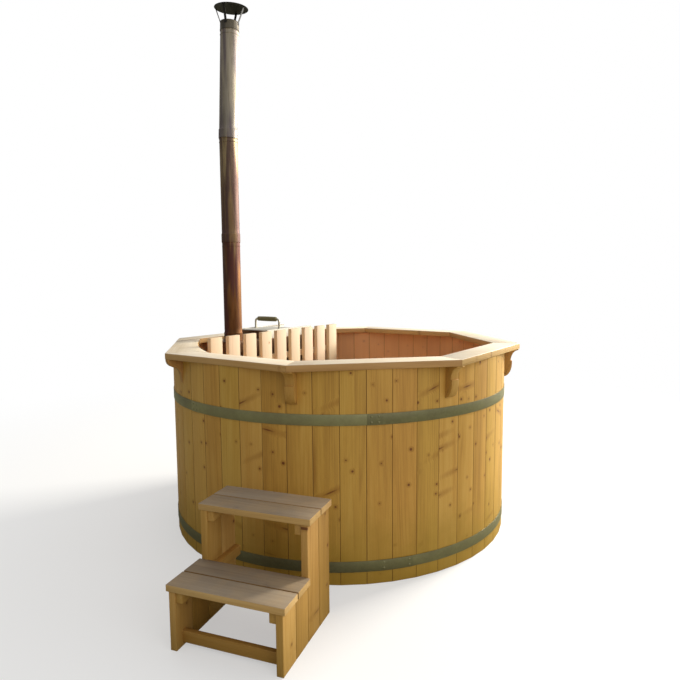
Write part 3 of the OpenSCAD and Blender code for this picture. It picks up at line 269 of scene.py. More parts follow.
def piece(name, made, finish, stands_for=(), body="tub", crease=32):
    """Makes an object from its points, faces and per-point tables. Faces that point inwards
    are turned, edges sharper than the crease angle stay sharp, and the piece rides on its
    body."""
    points, faces, tables = made
    points = np.ascontiguousarray(points, float).reshape(-1, 3)
    if volume(points, faces) < 0:
        faces = [f[:, ::-1] for f in faces]
    mesh = bpy.data.meshes.new(name)
    sizes = np.concatenate([np.full(len(f), f.shape[1]) for f in faces])
    loops = np.concatenate([f.ravel() for f in faces])
    mesh.vertices.add(len(points))
    mesh.loops.add(len(loops))
    mesh.polygons.add(len(sizes))
    mesh.vertices.foreach_set("co", points.ravel())
    mesh.loops.foreach_set("vertex_index", loops.astype(np.int32))
    starts = np.concatenate([[0], np.cumsum(sizes)[:-1]])
    mesh.polygons.foreach_set("loop_start", starts.astype(np.int32))
    mesh.update(calc_edges=True)
    if mesh.validate():
        raise RuntimeError(f"{name} has broken faces")
    mesh.polygons.foreach_set("use_smooth", np.ones(len(sizes), bool))
    mesh.set_sharp_from_angle(angle=math.radians(crease))
    for key, values in tables.items():
        table = mesh.attributes.new(key, "FLOAT_VECTOR", "POINT")
        table.data.foreach_set("vector", np.ascontiguousarray(values, np.float32).ravel())
    mesh.materials.append(finish)
    obj = bpy.data.objects.new(name, mesh)
    bpy.context.scene.collection.objects.link(obj)
    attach(obj, body)
    if stands_for:
        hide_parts(*stands_for)


def joined(parts):
    """Several (points, faces, tables) as one, each part's faces moved on past the points
    before it."""
    points = np.concatenate([p[0].reshape(-1, 3) for p in parts])
    first = np.cumsum([0] + [p[0].size // 3 for p in parts])
    faces = [f + at for p, at in zip(parts, first) for f in p[1]]
    tables = {key: np.concatenate([p[2][key].reshape(-1, 3) for p in parts])
              for key in parts[0][2]}
    return points, faces, tables


def wood_tables(local, seed, side=0.0, joint=(0, 0)):
    """Where each point lies in the log that its board was cut from, three random numbers for
    the board, and how near the point is to a joint. local is the point's place across the
    board, through it and along it. The log's heart runs along the board, 30 to 130 mm below
    its face, up to 70 mm off its middle and a little askew: its place is taken off the
    board's own place. side runs from -1 to 1 across the board, and joint tells which of its
    two sides meet a neighbour: the nearness is side at one and -side at the other."""
    count = len(local)
    rng = np.random.default_rng(seed)
    across, depth, run = np.moveaxis(local, -1, 0)
    shape = (count,) + (1,) * (local.ndim - 2)
    # how far aside the heart lies, how it slants aside, how deep it lies, how it slants in
    # depth, and how far up the log the board was cut
    aside, slant, deep, dive, up = (rng.uniform(*span, count).reshape(shape) for span in (
        (-0.07, 0.07), (-0.03, 0.03), (0.03, 0.13), (-0.02, 0.02), (0, 60)))
    grain = np.stack([across - aside - slant * run, depth + deep - dive * run, run + up], -1)
    board = np.broadcast_to(rng.uniform(0, 1, shape + (3,)), local.shape)
    meets = [np.broadcast_to(np.reshape(j, np.shape(j) + (1,) * (local.ndim - 1 - np.ndim(j))),
                             across.shape) for j in joint]
    seam = np.stack([side * meets[0], -side * meets[1], 0 * across], -1)
    return {"grain": grain, "board": board, "seam": seam}


def boards(origin, along, across, start, stop, outline, edge, seed=0, joint=(0, 0)):
    """Boards whose ends are rounded by edge. A point of the outline (x, y) at place s along
    the board goes to origin + along s + across x + (along x across) y, where s runs from
    start to stop. start and stop are numbers, or one for each board, or one for each board
    and outline point, which cuts the end to a slant or a curve. joint is as in wood_tables."""
    origin = np.atleast_2d(origin)
    count, m = len(origin), len(outline)
    along = np.broadcast_to(unit(along), (count, 3))
    across = np.broadcast_to(unit(across), (count, 3))
    grid = [np.broadcast_to(np.reshape(v, np.shape(v) + (1,) * (2 - np.ndim(v))), (count, m))
            for v in (start, stop)]
    share, extra, inset = (v[:, None] for v in ends(edge))
    s = grid[0][:, None] * (1 - share) + grid[1][:, None] * share + extra
    flat = outline[None] - outline_normals(outline)[None] * inset[..., None]
    x = np.broadcast_to(flat[None, ..., 0], s.shape)
    y = np.broadcast_to(flat[None, ..., 1], s.shape)
    local = np.stack([x, y, s], -1)
    up = np.cross(along, across)
    points = (origin[:, None, None] + s[..., None] * along[:, None, None]
              + x[..., None] * across[:, None, None] + y[..., None] * up[:, None, None])
    tables = wood_tables(local, seed, side=x / np.abs(outline[:, 0]).max(), joint=joint)
    return points, tube_faces(count, len(share), m), tables


def turned(outline, origin, axis, steps, wave=None):
    """A closed outline of (radius, height) turned round an axis: the point at angle a goes to
    origin + (cos a, sin a) radius + axis height. One copy for each origin and axis. wave
    gives an extra radius for each angle, for a seam."""
    origin, axis = np.atleast_2d(np.asarray(origin, float)), np.atleast_2d(unit(axis))
    count = max(len(origin), len(axis))
    origin = np.broadcast_to(origin, (count, 3))
    axis = np.broadcast_to(axis, (count, 3))
    helper = np.where(np.abs(axis[:, 2:]) > 0.9, [[1.0, 0.0, 0.0]], [[0.0, 0.0, 1.0]])
    u = unit(np.cross(helper, axis))
    v = np.cross(axis, u)
    a = np.linspace(0, 2 * np.pi, steps, endpoint=False)
    outline = np.asarray(outline, float)
    bump = np.zeros(steps) if wave is None else wave(a)
    radius = outline[None, :, 0] + bump[:, None]
    ring = (np.cos(a)[:, None] * radius)[None, ..., None] * u[:, None, None]
    ring = ring + (np.sin(a)[:, None] * radius)[None, ..., None] * v[:, None, None]
    points = origin[:, None, None] + ring + outline[None, None, :, 1:] * axis[:, None, None]
    return points, tube_faces(count, steps, len(outline), closed_path=True), {}


def lathe(outline, origin, axis, steps):
    """A solid of revolution: an open outline of (radius, height) whose first and last radius
    are near nothing, closed by flat caps there. One copy for each origin and axis."""
    points, _, _ = turned(outline, origin, axis, steps)
    points = points.transpose(0, 2, 1, 3)
    return points, tube_faces(len(points), len(outline), steps), {}


def swept(path, outline, side=UP, closed=False):
    """An outline (x, y) carried along a path: the point goes to path + x side' + y over',
    where side' is the given side direction made square to the path and over' is square to
    both."""
    path = np.asarray(path, float)
    if closed:
        run = np.roll(path, -1, 0) - np.roll(path, 1, 0)
    else:
        run = np.gradient(path, axis=0)
    run = unit(run)
    side = np.broadcast_to(np.asarray(side, float), path.shape)
    flat = unit(side - (side * run).sum(-1, keepdims=True) * run)
    over = np.cross(run, flat)
    points = (path[:, None] + outline[None, :, :1] * flat[:, None]
              + outline[None, :, 1:] * over[:, None])
    return points[None], tube_faces(1, len(path), len(outline), closed_path=closed), {}


def bent(corners, radius, n=6):
    """A path through corners whose inner corners are arcs: each corner is swapped for points
    of the curve a (1-t)^2 + 2 b t (1-t) + c t^2 between its two tangent points."""
    corners = np.asarray(corners, float)
    nearly_half = 0.49
    t = np.linspace(0, 1, n + 1)[:, None]
    path = [corners[:1]]
    for before, at, after in zip(corners[:-2], corners[1:-1], corners[2:]):
        a = at + unit(before - at) * min(radius, np.linalg.norm(before - at) * nearly_half)
        c = at + unit(after - at) * min(radius, np.linalg.norm(after - at) * nearly_half)
        path.append(a * (1 - t) ** 2 + 2 * at * t * (1 - t) + c * t ** 2)
    path.append(corners[-1:])
    return np.concatenate(path)


# ---- Finishes ----

def add(tree, kind, inputs=None, stops=None, **settings):
    """Adds one shader node with its settings, its colour stops and its inputs, which are
    values or other nodes' sockets."""
    made = tree.nodes.new(kind)
    for key, value in settings.items():
        setattr(made, key, value)
    if stops:
        ramp = made.color_ramp
        while len(ramp.elements) < len(stops):
            ramp.elements.new(0.5)
        for element, (place, value) in zip(ramp.elements, stops):
            element.position = place
            element.color = value
    for key, value in (inputs or {}).items():
        if isinstance(value, bpy.types.NodeSocket):
            tree.links.new(value, made.inputs[key])
        else:
            made.inputs[key].default_value = value
    return made


def material(name):
    """An empty node material with an output and a Principled shader."""
    mat = bpy.data.materials.new(name)
    mat.use_nodes = True
    tree = mat.node_tree
    tree.nodes.clear()
    shader = add(tree, "ShaderNodeBsdfPrincipled")
    add(tree, "ShaderNodeOutputMaterial", {"Surface": shader.outputs[0]})
    return mat, tree, shader


def softwood(name, mid, dark, light, ring=0.007, rough=0.6, knots=0.55, damp_and_shade=0.0,
             weather_and_top_light=0.0, aged_and_lit_colours=("#6E6152", "#9A8D7C"), spread=1.0, inside=None):
    """Planed softwood board. The eye sees faint growth rings that run to arches on a flat sawn
    face, straight fibre, small brown knots that the grain flows round, and boards that differ a
    little in tone. Dirt lies in the joints between boards, and where a joint is an open gap its
    dark band is painted shade. damp_and_shade darkens the foot of the wall, as moisture and as
    painted shade; weather_and_top_light turns what faces up to the aged_and_lit_colours, which are
    grey weathering on the treads and, on the rim, bleaching together with a painted highlight of
    the lit tops; and inside is a radius and the steamed colour of the wall within it. ring is the
    rings' spacing in metres, knots the share of cells that hold one, and spread how far boards
    differ."""
    mat, tree, shader = material(name)
    grain = add(tree, "ShaderNodeAttribute", attribute_name="grain").outputs["Vector"]
    board = add(tree, "ShaderNodeAttribute", attribute_name="board").outputs["Vector"]
    pick = add(tree, "ShaderNodeSeparateXYZ", {0: board}).outputs
    part = add(tree, "ShaderNodeSeparateXYZ", {0: grain}).outputs
    # round knots: one cell is 0.14 m of board, a knot is 5 to 16 mm across
    face = add(tree, "ShaderNodeCombineXYZ", {0: part[0], 1: part[2]}).outputs[0]
    cell = add(tree, "ShaderNodeTexVoronoi", {"Vector": face, "Scale": 7.0},
               voronoi_dimensions="2D")
    some = add(tree, "ShaderNodeSeparateColor", {0: cell.outputs["Color"]}).outputs[0]
    held = add(tree, "ShaderNodeMath", {0: some, 1: 1 - knots},
               operation="GREATER_THAN").outputs[0]
    size = add(tree, "ShaderNodeMapRange", {0: some, 1: 1 - knots, 2: 1.0, 3: 0.016,
                                            4: 0.056}).outputs[0]
    none = add(tree, "ShaderNodeMath", {0: 1.0, 1: held}, operation="SUBTRACT").outputs[0]
    gap = add(tree, "ShaderNodeMath", {0: cell.outputs["Distance"], 1: size},
              operation="SUBTRACT").outputs[0]
    gap = add(tree, "ShaderNodeMath", {0: gap, 1: none}, operation="ADD").outputs[0]
    # spike knots, cut lengthways: rare, 60 mm wide, 8 mm high and a little slanted
    slant = add(tree, "ShaderNodeMapRange", {0: pick[2], 3: -0.5, 4: 0.5}).outputs[0]
    tall = add(tree, "ShaderNodeMath", {0: part[0], 1: slant, 2: part[2]},
               operation="MULTIPLY_ADD").outputs[0]
    flat = add(tree, "ShaderNodeMath", {0: part[0], 1: 0.14}, operation="MULTIPLY").outputs[0]
    stretched = add(tree, "ShaderNodeCombineXYZ", {0: flat, 1: tall}).outputs[0]
    spike = add(tree, "ShaderNodeTexVoronoi", {"Vector": stretched, "Scale": 4.5},
                voronoi_dimensions="2D").outputs["Distance"]
    spike = add(tree, "ShaderNodeMath", {0: spike, 1: 0.02 if knots > 0.5 else -1.0},
                operation="SUBTRACT").outputs[0]
    gap = add(tree, "ShaderNodeMath", {0: gap, 1: spike}, operation="MINIMUM").outputs[0]
    knot = add(tree, "ShaderNodeMapRange", {0: gap, 1: 0.006, 2: -0.014, 3: 0.0,
                                            4: 0.9}).outputs[0]
    halo = add(tree, "ShaderNodeMapRange", {0: gap, 1: 0.14, 2: 0.0, 3: 0.0, 4: 0.006},
               interpolation_type="SMOOTHERSTEP").outputs[0]
    push = add(tree, "ShaderNodeCombineXYZ", {0: halo, 1: halo}).outputs[0]
    flow = add(tree, "ShaderNodeVectorMath", {0: grain, 1: push}, operation="ADD").outputs[0]
    # growth rings: real ones are 2 to 4 mm apart, drawn 4 to 7 mm apart so that they show
    long = add(tree, "ShaderNodeMapping", {0: flow, 3: (1.0, 1.0, 0.12)}).outputs[0]
    rings = add(tree, "ShaderNodeTexWave", {"Vector": long, "Scale": 0.314 / ring,
                                            "Distortion": 2.6, "Detail": 2.0,
                                            "Detail Scale": 0.3, "Detail Roughness": 0.6},
                wave_type="RINGS", rings_direction="Z", wave_profile="SIN").outputs["Fac"]
    band = add(tree, "ShaderNodeMath", {0: rings, 1: 2.2}, operation="POWER").outputs[0]
    clear = add(tree, "ShaderNodeTexNoise", {
        "Vector": add(tree, "ShaderNodeMapping", {0: grain, 3: (30, 30, 1.2)}).outputs[0],
        "Scale": 1.0, "Detail": 2.0}).outputs["Fac"]
    clear = add(tree, "ShaderNodeMapRange", {0: clear, 1: 0.4, 2: 0.65}).outputs[0]
    band = add(tree, "ShaderNodeMath", {0: band, 1: clear}, operation="MULTIPLY").outputs[0]
    # colour drift: 60 mm wide and 0.6 m long
    drift = add(tree, "ShaderNodeTexNoise", {
        "Vector": add(tree, "ShaderNodeMapping", {0: grain, 3: (16, 16, 1.6)}).outputs[0],
        "Scale": 1.0, "Detail": 3.0}).outputs["Fac"]
    # streaks: 10 mm wide and 0.4 m long
    streak = add(tree, "ShaderNodeTexNoise", {
        "Vector": add(tree, "ShaderNodeMapping", {0: flow, 3: (100, 100, 2.5)}).outputs[0],
        "Scale": 1.0, "Detail": 4.0, "Roughness": 0.6}).outputs["Fac"]
    # fibre: 1.5 mm wide and 70 mm long
    fibre = add(tree, "ShaderNodeTexNoise", {
        "Vector": add(tree, "ShaderNodeMapping", {0: flow, 3: (650, 650, 14)}).outputs[0],
        "Scale": 1.0, "Detail": 4.0, "Roughness": 0.7}).outputs["Fac"]
    total = add(tree, "ShaderNodeMapRange", {0: pick[0], 3: 0.03 - 0.17 * spread,
                                             4: 0.03 + 0.17 * spread}).outputs[0]
    for value, share in ((band, -0.12), (drift, 0.42), (streak, 0.42), (fibre, 0.16)):
        total = add(tree, "ShaderNodeMath", {0: value, 1: share, 2: total},
                    operation="MULTIPLY_ADD").outputs[0]
    base = add(tree, "ShaderNodeValToRGB", {0: total},
               stops=[(0.1, dark), (0.5, mid), (0.9, light)]).outputs[0]
    # every board also leans a little to red or to yellow
    warm = add(tree, "ShaderNodeMapRange", {0: pick[1], 3: 0.493, 4: 0.504}).outputs[0]
    fresh = add(tree, "ShaderNodeHueSaturation", {"Hue": warm, "Color": base}).outputs[0]
    # resin darkens the wood 14 mm round a knot
    glow = add(tree, "ShaderNodeMapRange", {0: gap, 1: 0.1, 2: 0.0, 3: 0.0, 4: 0.4},
               interpolation_type="SMOOTHSTEP").outputs[0]
    resin = (dark[0], dark[1] * 0.85, dark[2] * 0.6, 1.0)
    fresh = add(tree, "ShaderNodeMix", {0: glow, 6: fresh, 7: resin}, data_type="RGBA").outputs[2]
    brown = (dark[0] * 0.5, dark[1] * 0.3, dark[2] * 0.12, 1.0)
    fresh = add(tree, "ShaderNodeMix", {0: knot, 6: fresh, 7: brown}, data_type="RGBA").outputs[2]
    # dirt in the joints, and painted shade where a joint is an open gap: 2 to 3 mm wide, and broken
    # here and there
    seam = add(tree, "ShaderNodeAttribute", attribute_name="seam").outputs["Vector"]
    seam = add(tree, "ShaderNodeSeparateXYZ", {0: seam}).outputs
    near = add(tree, "ShaderNodeMath", {0: seam[0], 1: seam[1]}, operation="MAXIMUM").outputs[0]
    near = add(tree, "ShaderNodeMath", {0: streak, 1: 0.03, 2: near},
               operation="MULTIPLY_ADD").outputs[0]
    dirt_and_shade_strength = add(tree, "ShaderNodeMapRange", {0: pick[2], 3: 0.4, 4: 0.85}).outputs[0]
    joint_dirt_and_shade = add(tree, "ShaderNodeMapRange", {0: near, 1: 0.976, 2: 0.996, 3: 0.0,
                                             4: dirt_and_shade_strength}).outputs[0]
    joint_dirt_and_shade_colour = (dark[0] * 0.4, dark[1] * 0.34, dark[2] * 0.25, 1.0)
    place = add(tree, "ShaderNodeTexCoord").outputs["Object"]
    height = add(tree, "ShaderNodeSeparateXYZ", {0: place}).outputs[2]
    stain = add(tree, "ShaderNodeTexNoise", {"Vector": place, "Scale": 5.0, "Detail": 5.0,
                                             "Roughness": 0.65}).outputs["Fac"]
    # the foot goes darker and yellower towards the ground: moisture, and painted shade
    if damp_and_shade:
        level = add(tree, "ShaderNodeMath", {0: stain, 1: 0.35, 2: height},
                    operation="MULTIPLY_ADD").outputs[0]
        foot_damp_and_shade = add(tree, "ShaderNodeMapRange", {0: level, 1: 0.62, 2: 0.16, 3: 0.0, 4: damp_and_shade},
                  interpolation_type="SMOOTHSTEP").outputs[0]
        damp_and_shade_colour = (mid[0] * 0.62, mid[1] * 0.66, mid[2] * 0.3, 1.0)
        fresh = add(tree, "ShaderNodeMix", {0: foot_damp_and_shade, 6: fresh, 7: damp_and_shade_colour}, data_type="RGBA").outputs[2]
    # faces that point up turn to the two given colours: real weathering, and on the rim also a
    # painted highlight of the lit tops
    if weather_and_top_light:
        level = add(tree, "ShaderNodeNewGeometry").outputs["Normal"]
        level = add(tree, "ShaderNodeSeparateXYZ", {0: level}).outputs[2]
        level = add(tree, "ShaderNodeMapRange", {0: level, 1: 0.3, 2: 0.9}).outputs[0]
        worn = add(tree, "ShaderNodeMapRange", {0: stain, 1: 0.34, 2: 0.62, 3: weather_and_top_light * 0.75,
                                                4: weather_and_top_light}).outputs[0]
        worn = add(tree, "ShaderNodeMath", {0: worn, 1: level}, operation="MULTIPLY").outputs[0]
        aged_and_lit_tone = add(tree, "ShaderNodeValToRGB", {0: total},
                     stops=[(0.2, linear(aged_and_lit_colours[0])), (0.8, linear(aged_and_lit_colours[1]))]).outputs[0]
        fresh = add(tree, "ShaderNodeMix", {0: worn, 6: fresh, 7: aged_and_lit_tone},
                    data_type="RGBA").outputs[2]
    if inside:
        flat = add(tree, "ShaderNodeVectorMath", {0: place, 1: (1, 1, 0)},
                   operation="MULTIPLY").outputs[0]
        away = add(tree, "ShaderNodeVectorMath", {0: flat}, operation="LENGTH").outputs["Value"]
        within = add(tree, "ShaderNodeMath", {0: away, 1: inside[0]},
                     operation="LESS_THAN").outputs[0]
        steamed = add(tree, "ShaderNodeMix", {0: 0.6, 6: fresh, 7: inside[1]},
                      data_type="RGBA").outputs[2]
        fresh = add(tree, "ShaderNodeMix", {0: within, 6: fresh, 7: steamed},
                    data_type="RGBA").outputs[2]
    fresh = add(tree, "ShaderNodeMix", {0: joint_dirt_and_shade, 6: fresh, 7: joint_dirt_and_shade_colour}, data_type="RGBA").outputs[2]
    tree.links.new(fresh, shader.inputs["Base Color"])
    gloss = add(tree, "ShaderNodeMapRange", {0: fibre, 3: rough - 0.1, 4: rough + 0.12}).outputs[0]
    tree.links.new(gloss, shader.inputs["Roughness"])
    relief = add(tree, "ShaderNodeMath", {0: band, 1: -0.5, 2: fibre},
                 operation="MULTIPLY_ADD").outputs[0]
    bump = add(tree, "ShaderNodeBump", {"Strength": 0.35, "Distance": 0.0006,
                                        "Height": relief}).outputs[0]
    tree.links.new(bump, shader.inputs["Normal"])
    return mat


def galvanised_strip(name, zinc):
    """Hot-dip galvanised strip left outdoors. The eye sees a dull grey with hardly visible crystals
    about 12 mm across, strips of different age, and brown run-off stain. Its green cast is a
    painted reflection."""
    mat, tree, shader = material(name)
    place = add(tree, "ShaderNodeTexCoord").outputs["Object"]
    board = add(tree, "ShaderNodeAttribute", attribute_name="board").outputs["Vector"]
    age = add(tree, "ShaderNodeSeparateXYZ", {0: board}).outputs[0]
    cell = add(tree, "ShaderNodeTexVoronoi", {"Vector": place, "Scale": 1 / 0.012})
    flake = add(tree, "ShaderNodeSeparateColor", {0: cell.outputs["Color"]}).outputs[0]
    stain = add(tree, "ShaderNodeTexNoise", {"Vector": place, "Scale": 6.0, "Detail": 6.0,
                                             "Roughness": 0.62}).outputs["Fac"]
    tone = add(tree, "ShaderNodeMath", {0: flake, 1: 0.14, 2: age},
               operation="MULTIPLY_ADD").outputs[0]
    pale = tuple(min(c * 1.3, 1) for c in zinc[:3]) + (1.0,)
    deep = tuple(c * 0.6 for c in zinc[:3]) + (1.0,)
    base = add(tree, "ShaderNodeValToRGB", {0: tone}, stops=[(0.1, deep), (1.0, pale)]).outputs[0]
    rust = add(tree, "ShaderNodeMapRange", {0: stain, 1: 0.46, 2: 0.74, 3: 0.0, 4: 0.5}).outputs[0]
    both = add(tree, "ShaderNodeMix", {0: rust, 6: base, 7: linear("#574A2A")},
               data_type="RGBA").outputs[2]
    tree.links.new(both, shader.inputs["Base Color"])
    metal = add(tree, "ShaderNodeMapRange", {0: rust, 1: 0.0, 2: 0.5, 3: 0.75, 4: 0.3}).outputs[0]
    tree.links.new(metal, shader.inputs["Metallic"])
    gloss = add(tree, "ShaderNodeMapRange", {0: flake, 3: 0.42, 4: 0.5}).outputs[0]
    tree.links.new(gloss, shader.inputs["Roughness"])
    bump = add(tree, "ShaderNodeBump", {"Strength": 0.2, "Distance": 0.0004,
                                        "Height": stain}).outputs[0]
    tree.links.new(bump, shader.inputs["Normal"])
    return mat


def plain_metal(name, base, rough, scratch=600.0, dirt=0.3, dirt_colour="#2A241E"):
    """Mill-finish or turned metal. The eye sees a soft sheen, rolling lines about 2 mm apart,
    scratch being how many there are in a metre, and a thin film of soot or dust in patches."""
    mat, tree, shader = material(name)
    place = add(tree, "ShaderNodeTexCoord").outputs["Object"]
    line = add(tree, "ShaderNodeTexNoise", {
        "Vector": add(tree, "ShaderNodeMapping", {0: place, 3: (scratch, scratch, scratch * 0.04)}
                      ).outputs[0], "Scale": 1.0, "Detail": 3.0}).outputs["Fac"]
    film = add(tree, "ShaderNodeTexNoise", {"Vector": place, "Scale": 14.0, "Detail": 5.0,
                                            "Roughness": 0.62}).outputs["Fac"]
    share = add(tree, "ShaderNodeMapRange", {0: film, 1: 0.42, 2: 0.72, 3: 0.0, 4: dirt}).outputs[0]
    both = add(tree, "ShaderNodeMix", {0: share, 6: base, 7: linear(dirt_colour)},
               data_type="RGBA").outputs[2]
    tree.links.new(both, shader.inputs["Base Color"])
    shader.inputs["Metallic"].default_value = 1.0
    gloss = add(tree, "ShaderNodeMapRange", {0: film, 1: 0.3, 2: 0.7, 3: rough,
                                             4: rough + 0.18}).outputs[0]
    tree.links.new(gloss, shader.inputs["Roughness"])
    bump = add(tree, "ShaderNodeBump", {"Strength": 0.12, "Distance": 0.0003,
                                        "Height": line}).outputs[0]
    tree.links.new(bump, shader.inputs["Normal"])
    return mat


def tinted_stainless(name, clean, warm, hot, low, high, bloom):
    """Rolled stainless pipe that the fire has tinted. The eye sees straw to brown oxide,
    strongest near the stove, and tongues of a plum-coloured bloom that run up the pipe, over
    the steel's soft sheen. low and high are the heights between which the tint goes from hot
    to clean."""
    mat, tree, shader = material(name)
    place = add(tree, "ShaderNodeTexCoord").outputs["Object"]
    height = add(tree, "ShaderNodeSeparateXYZ", {0: place}).outputs[2]
    wash = add(tree, "ShaderNodeTexNoise", {
        "Vector": add(tree, "ShaderNodeMapping", {0: place, 3: (19, 19, 2.4)}).outputs[0],
        "Scale": 1.0, "Detail": 4.0, "Roughness": 0.55}).outputs["Fac"]
    rise = add(tree, "ShaderNodeMapRange", {0: height, 1: low, 2: high}).outputs[0]
    heat = add(tree, "ShaderNodeMath", {0: wash, 1: 0.75, 2: rise},
               operation="MULTIPLY_ADD").outputs[0]
    tint = add(tree, "ShaderNodeValToRGB", {0: heat},
               stops=[(0.3, hot), (0.75, warm), (1.3 / 1.4, clean)]).outputs[0]
    soot = add(tree, "ShaderNodeTexNoise", {
        "Vector": add(tree, "ShaderNodeMapping", {0: place, 3: (60, 60, 5)}).outputs[0],
        "Scale": 1.0, "Detail": 6.0, "Roughness": 0.7}).outputs["Fac"]
    share = add(tree, "ShaderNodeMapRange", {0: soot, 1: 0.5, 2: 0.75, 3: 0.0, 4: 0.45}).outputs[0]
    both = add(tree, "ShaderNodeMix", {0: share, 6: tint, 7: linear("#2B2019")},
               data_type="RGBA").outputs[2]
    shader.inputs["Metallic"].default_value = 1.0
    plum = add(tree, "ShaderNodeTexNoise", {
        "Vector": add(tree, "ShaderNodeMapping", {0: place, 1: (3, 1, 2), 3: (24, 24, 1.6)}
                      ).outputs[0], "Scale": 1.0, "Detail": 3.0}).outputs["Fac"]
    plum = add(tree, "ShaderNodeMapRange", {0: plum, 1: 0.45, 2: 0.56, 3: 0.0, 4: 0.8}).outputs[0]
    both = add(tree, "ShaderNodeMix", {0: plum, 6: both, 7: bloom}, data_type="RGBA").outputs[2]
    tree.links.new(both, shader.inputs["Base Color"])
    gloss = add(tree, "ShaderNodeMapRange", {0: soot, 1: 0.3, 2: 0.7, 3: 0.54, 4: 0.68}).outputs[0]
    tree.links.new(gloss, shader.inputs["Roughness"])
    return mat


def sooted_steel(name):
    """Steel sheet under a coat of soot. The eye sees near black with a brown cast, matt, and
    patches about 45 mm across where a little of the metal shows."""
    mat, tree, shader = material(name)
    place = add(tree, "ShaderNodeTexCoord").outputs["Object"]
    soot = add(tree, "ShaderNodeTexNoise", {"Vector": place, "Scale": 22.0, "Detail": 6.0,
                                            "Roughness": 0.66}).outputs["Fac"]
    base = add(tree, "ShaderNodeValToRGB", {0: soot},
               stops=[(0.35, linear("#0C0A08")), (0.62, linear("#1D1812")),
                      (0.8, linear("#4A4238"))]).outputs[0]
    tree.links.new(base, shader.inputs["Base Color"])
    metal = add(tree, "ShaderNodeMapRange", {0: soot, 1: 0.5, 2: 0.8, 3: 0.05, 4: 0.4}).outputs[0]
    tree.links.new(metal, shader.inputs["Metallic"])
    shader.inputs["Roughness"].default_value = 0.62
    return mat


def moulded_rubber(name):
    """Moulded black rubber. The eye sees a near black, soft sheen with a dusty bloom."""
    mat, tree, shader = material(name)
    place = add(tree, "ShaderNodeTexCoord").outputs["Object"]
    bloom = add(tree, "ShaderNodeTexNoise", {"Vector": place, "Scale": 60.0,
                                             "Detail": 4.0}).outputs["Fac"]
    base = add(tree, "ShaderNodeValToRGB", {0: bloom},
               stops=[(0.3, linear("#151515")), (0.8, linear("#2C2B29"))]).outputs[0]
    tree.links.new(base, shader.inputs["Base Color"])
    shader.inputs["Roughness"].default_value = 0.55
    return mat


def dress(finish, *nodes):
    """Gives kept CAD nodes a finish."""
    for name in nodes:
        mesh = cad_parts[name].data
        mesh.materials.clear()
        mesh.materials.append(finish)


# ---- Pieces ----

class HOTTUB_OT_staves(Operator):
    """Builds the ring of bevelled staves, with their tongues, grooves and the croze"""
    bl_idname = "hottub.staves"
    bl_label = "Staves"

    def execute(self, context):
        """A stave's outline, a wedge with a tongue and a groove, is carried from the ground
        to the rim. Its inner face steps back where the floor sits, which is the croze."""
        wall = context.scene.hottub_wall
        step = 2 * math.pi / wall.staves
        half = math.tan(step / 2)
        inner, outer = wall.radius - wall.thickness, wall.radius
        mid = inner + wall.thickness / 2
        # half a tongue's thickness, its length, the room round it and half a joint's width
        tongue, reach, fit, gap = 0.006, 0.008, 0.0003, 0.0001
        # the bevel at the foot, the croze's depth and the heights it lies between
        foot, croze, croze_low, croze_high = 0.002, 0.012, 0.074, 0.1123
        cos, sin = math.cos(step / 2), math.sin(step / 2)
        low, high = mid - tongue, mid + tongue
        groove = np.array([[low - fit, 0], [low - fit, reach + fit], [high + fit, reach + fit],
                           [high + fit, 0]]) @ [[cos, -sin], [sin, cos]]
        rib = np.array([[high, 0], [high, reach], [low, reach],
                        [low, 0]]) @ [[cos, sin], [-sin, cos]]
        edge, soft = outer * half - gap, wall.bevel
        outline = np.concatenate([
            [[inner, gap - inner * half]], groove,
            arc(outer - soft, soft - edge, soft, soft, -86, 0, 4),
            arc(outer - soft, edge - soft, soft, soft, 0, 86, 4), rib,
            [[inner, inner * half - gap]]])
        z = np.array([0, foot, croze_low, croze_low, croze_high, croze_high, wall.height])
        local = np.broadcast_to(outline[None], (len(z),) + outline.shape).copy()
        local[3:5, [0, -1], 0] += croze
        local[0, outline[:, 0] > outer - soft * 1.01, 0] -= foot
        height = np.broadcast_to(z[:, None, None], local.shape[:2] + (1,))
        local = np.concatenate([local, height], -1)
        out, side = bearing(wall.turn + step * np.arange(wall.staves))
        points = (local[None, ..., :1] * out[:, None, None]
                  + local[None, ..., 1:2] * side[:, None, None] + local[None, ..., 2:] * UP)
        own = np.stack([local[..., 1], local[..., 0] - outer, local[..., 2]], -1)
        tables = wood_tables(np.broadcast_to(own[None], (wall.staves,) + own.shape), 11,
                             side=local[..., 1] / local[..., 0] / half, joint=(1, 1))
        # the wall's foot is darkened by painted shade as well as by moisture
        oiled = softwood("oiled_planed_pine_staves", wall.wood, wall.wood_dark, wall.wood_light,
                         rough=0.5, knots=0.75, damp_and_shade=0.8, spread=0.6,
                         inside=(inner + 0.003, linear("#F0B48A")))
        faces = tube_faces(wall.staves, len(z), len(outline))
        piece("staves_cut", (points, faces, tables), oiled, ["staves"])
        return {"FINISHED"}


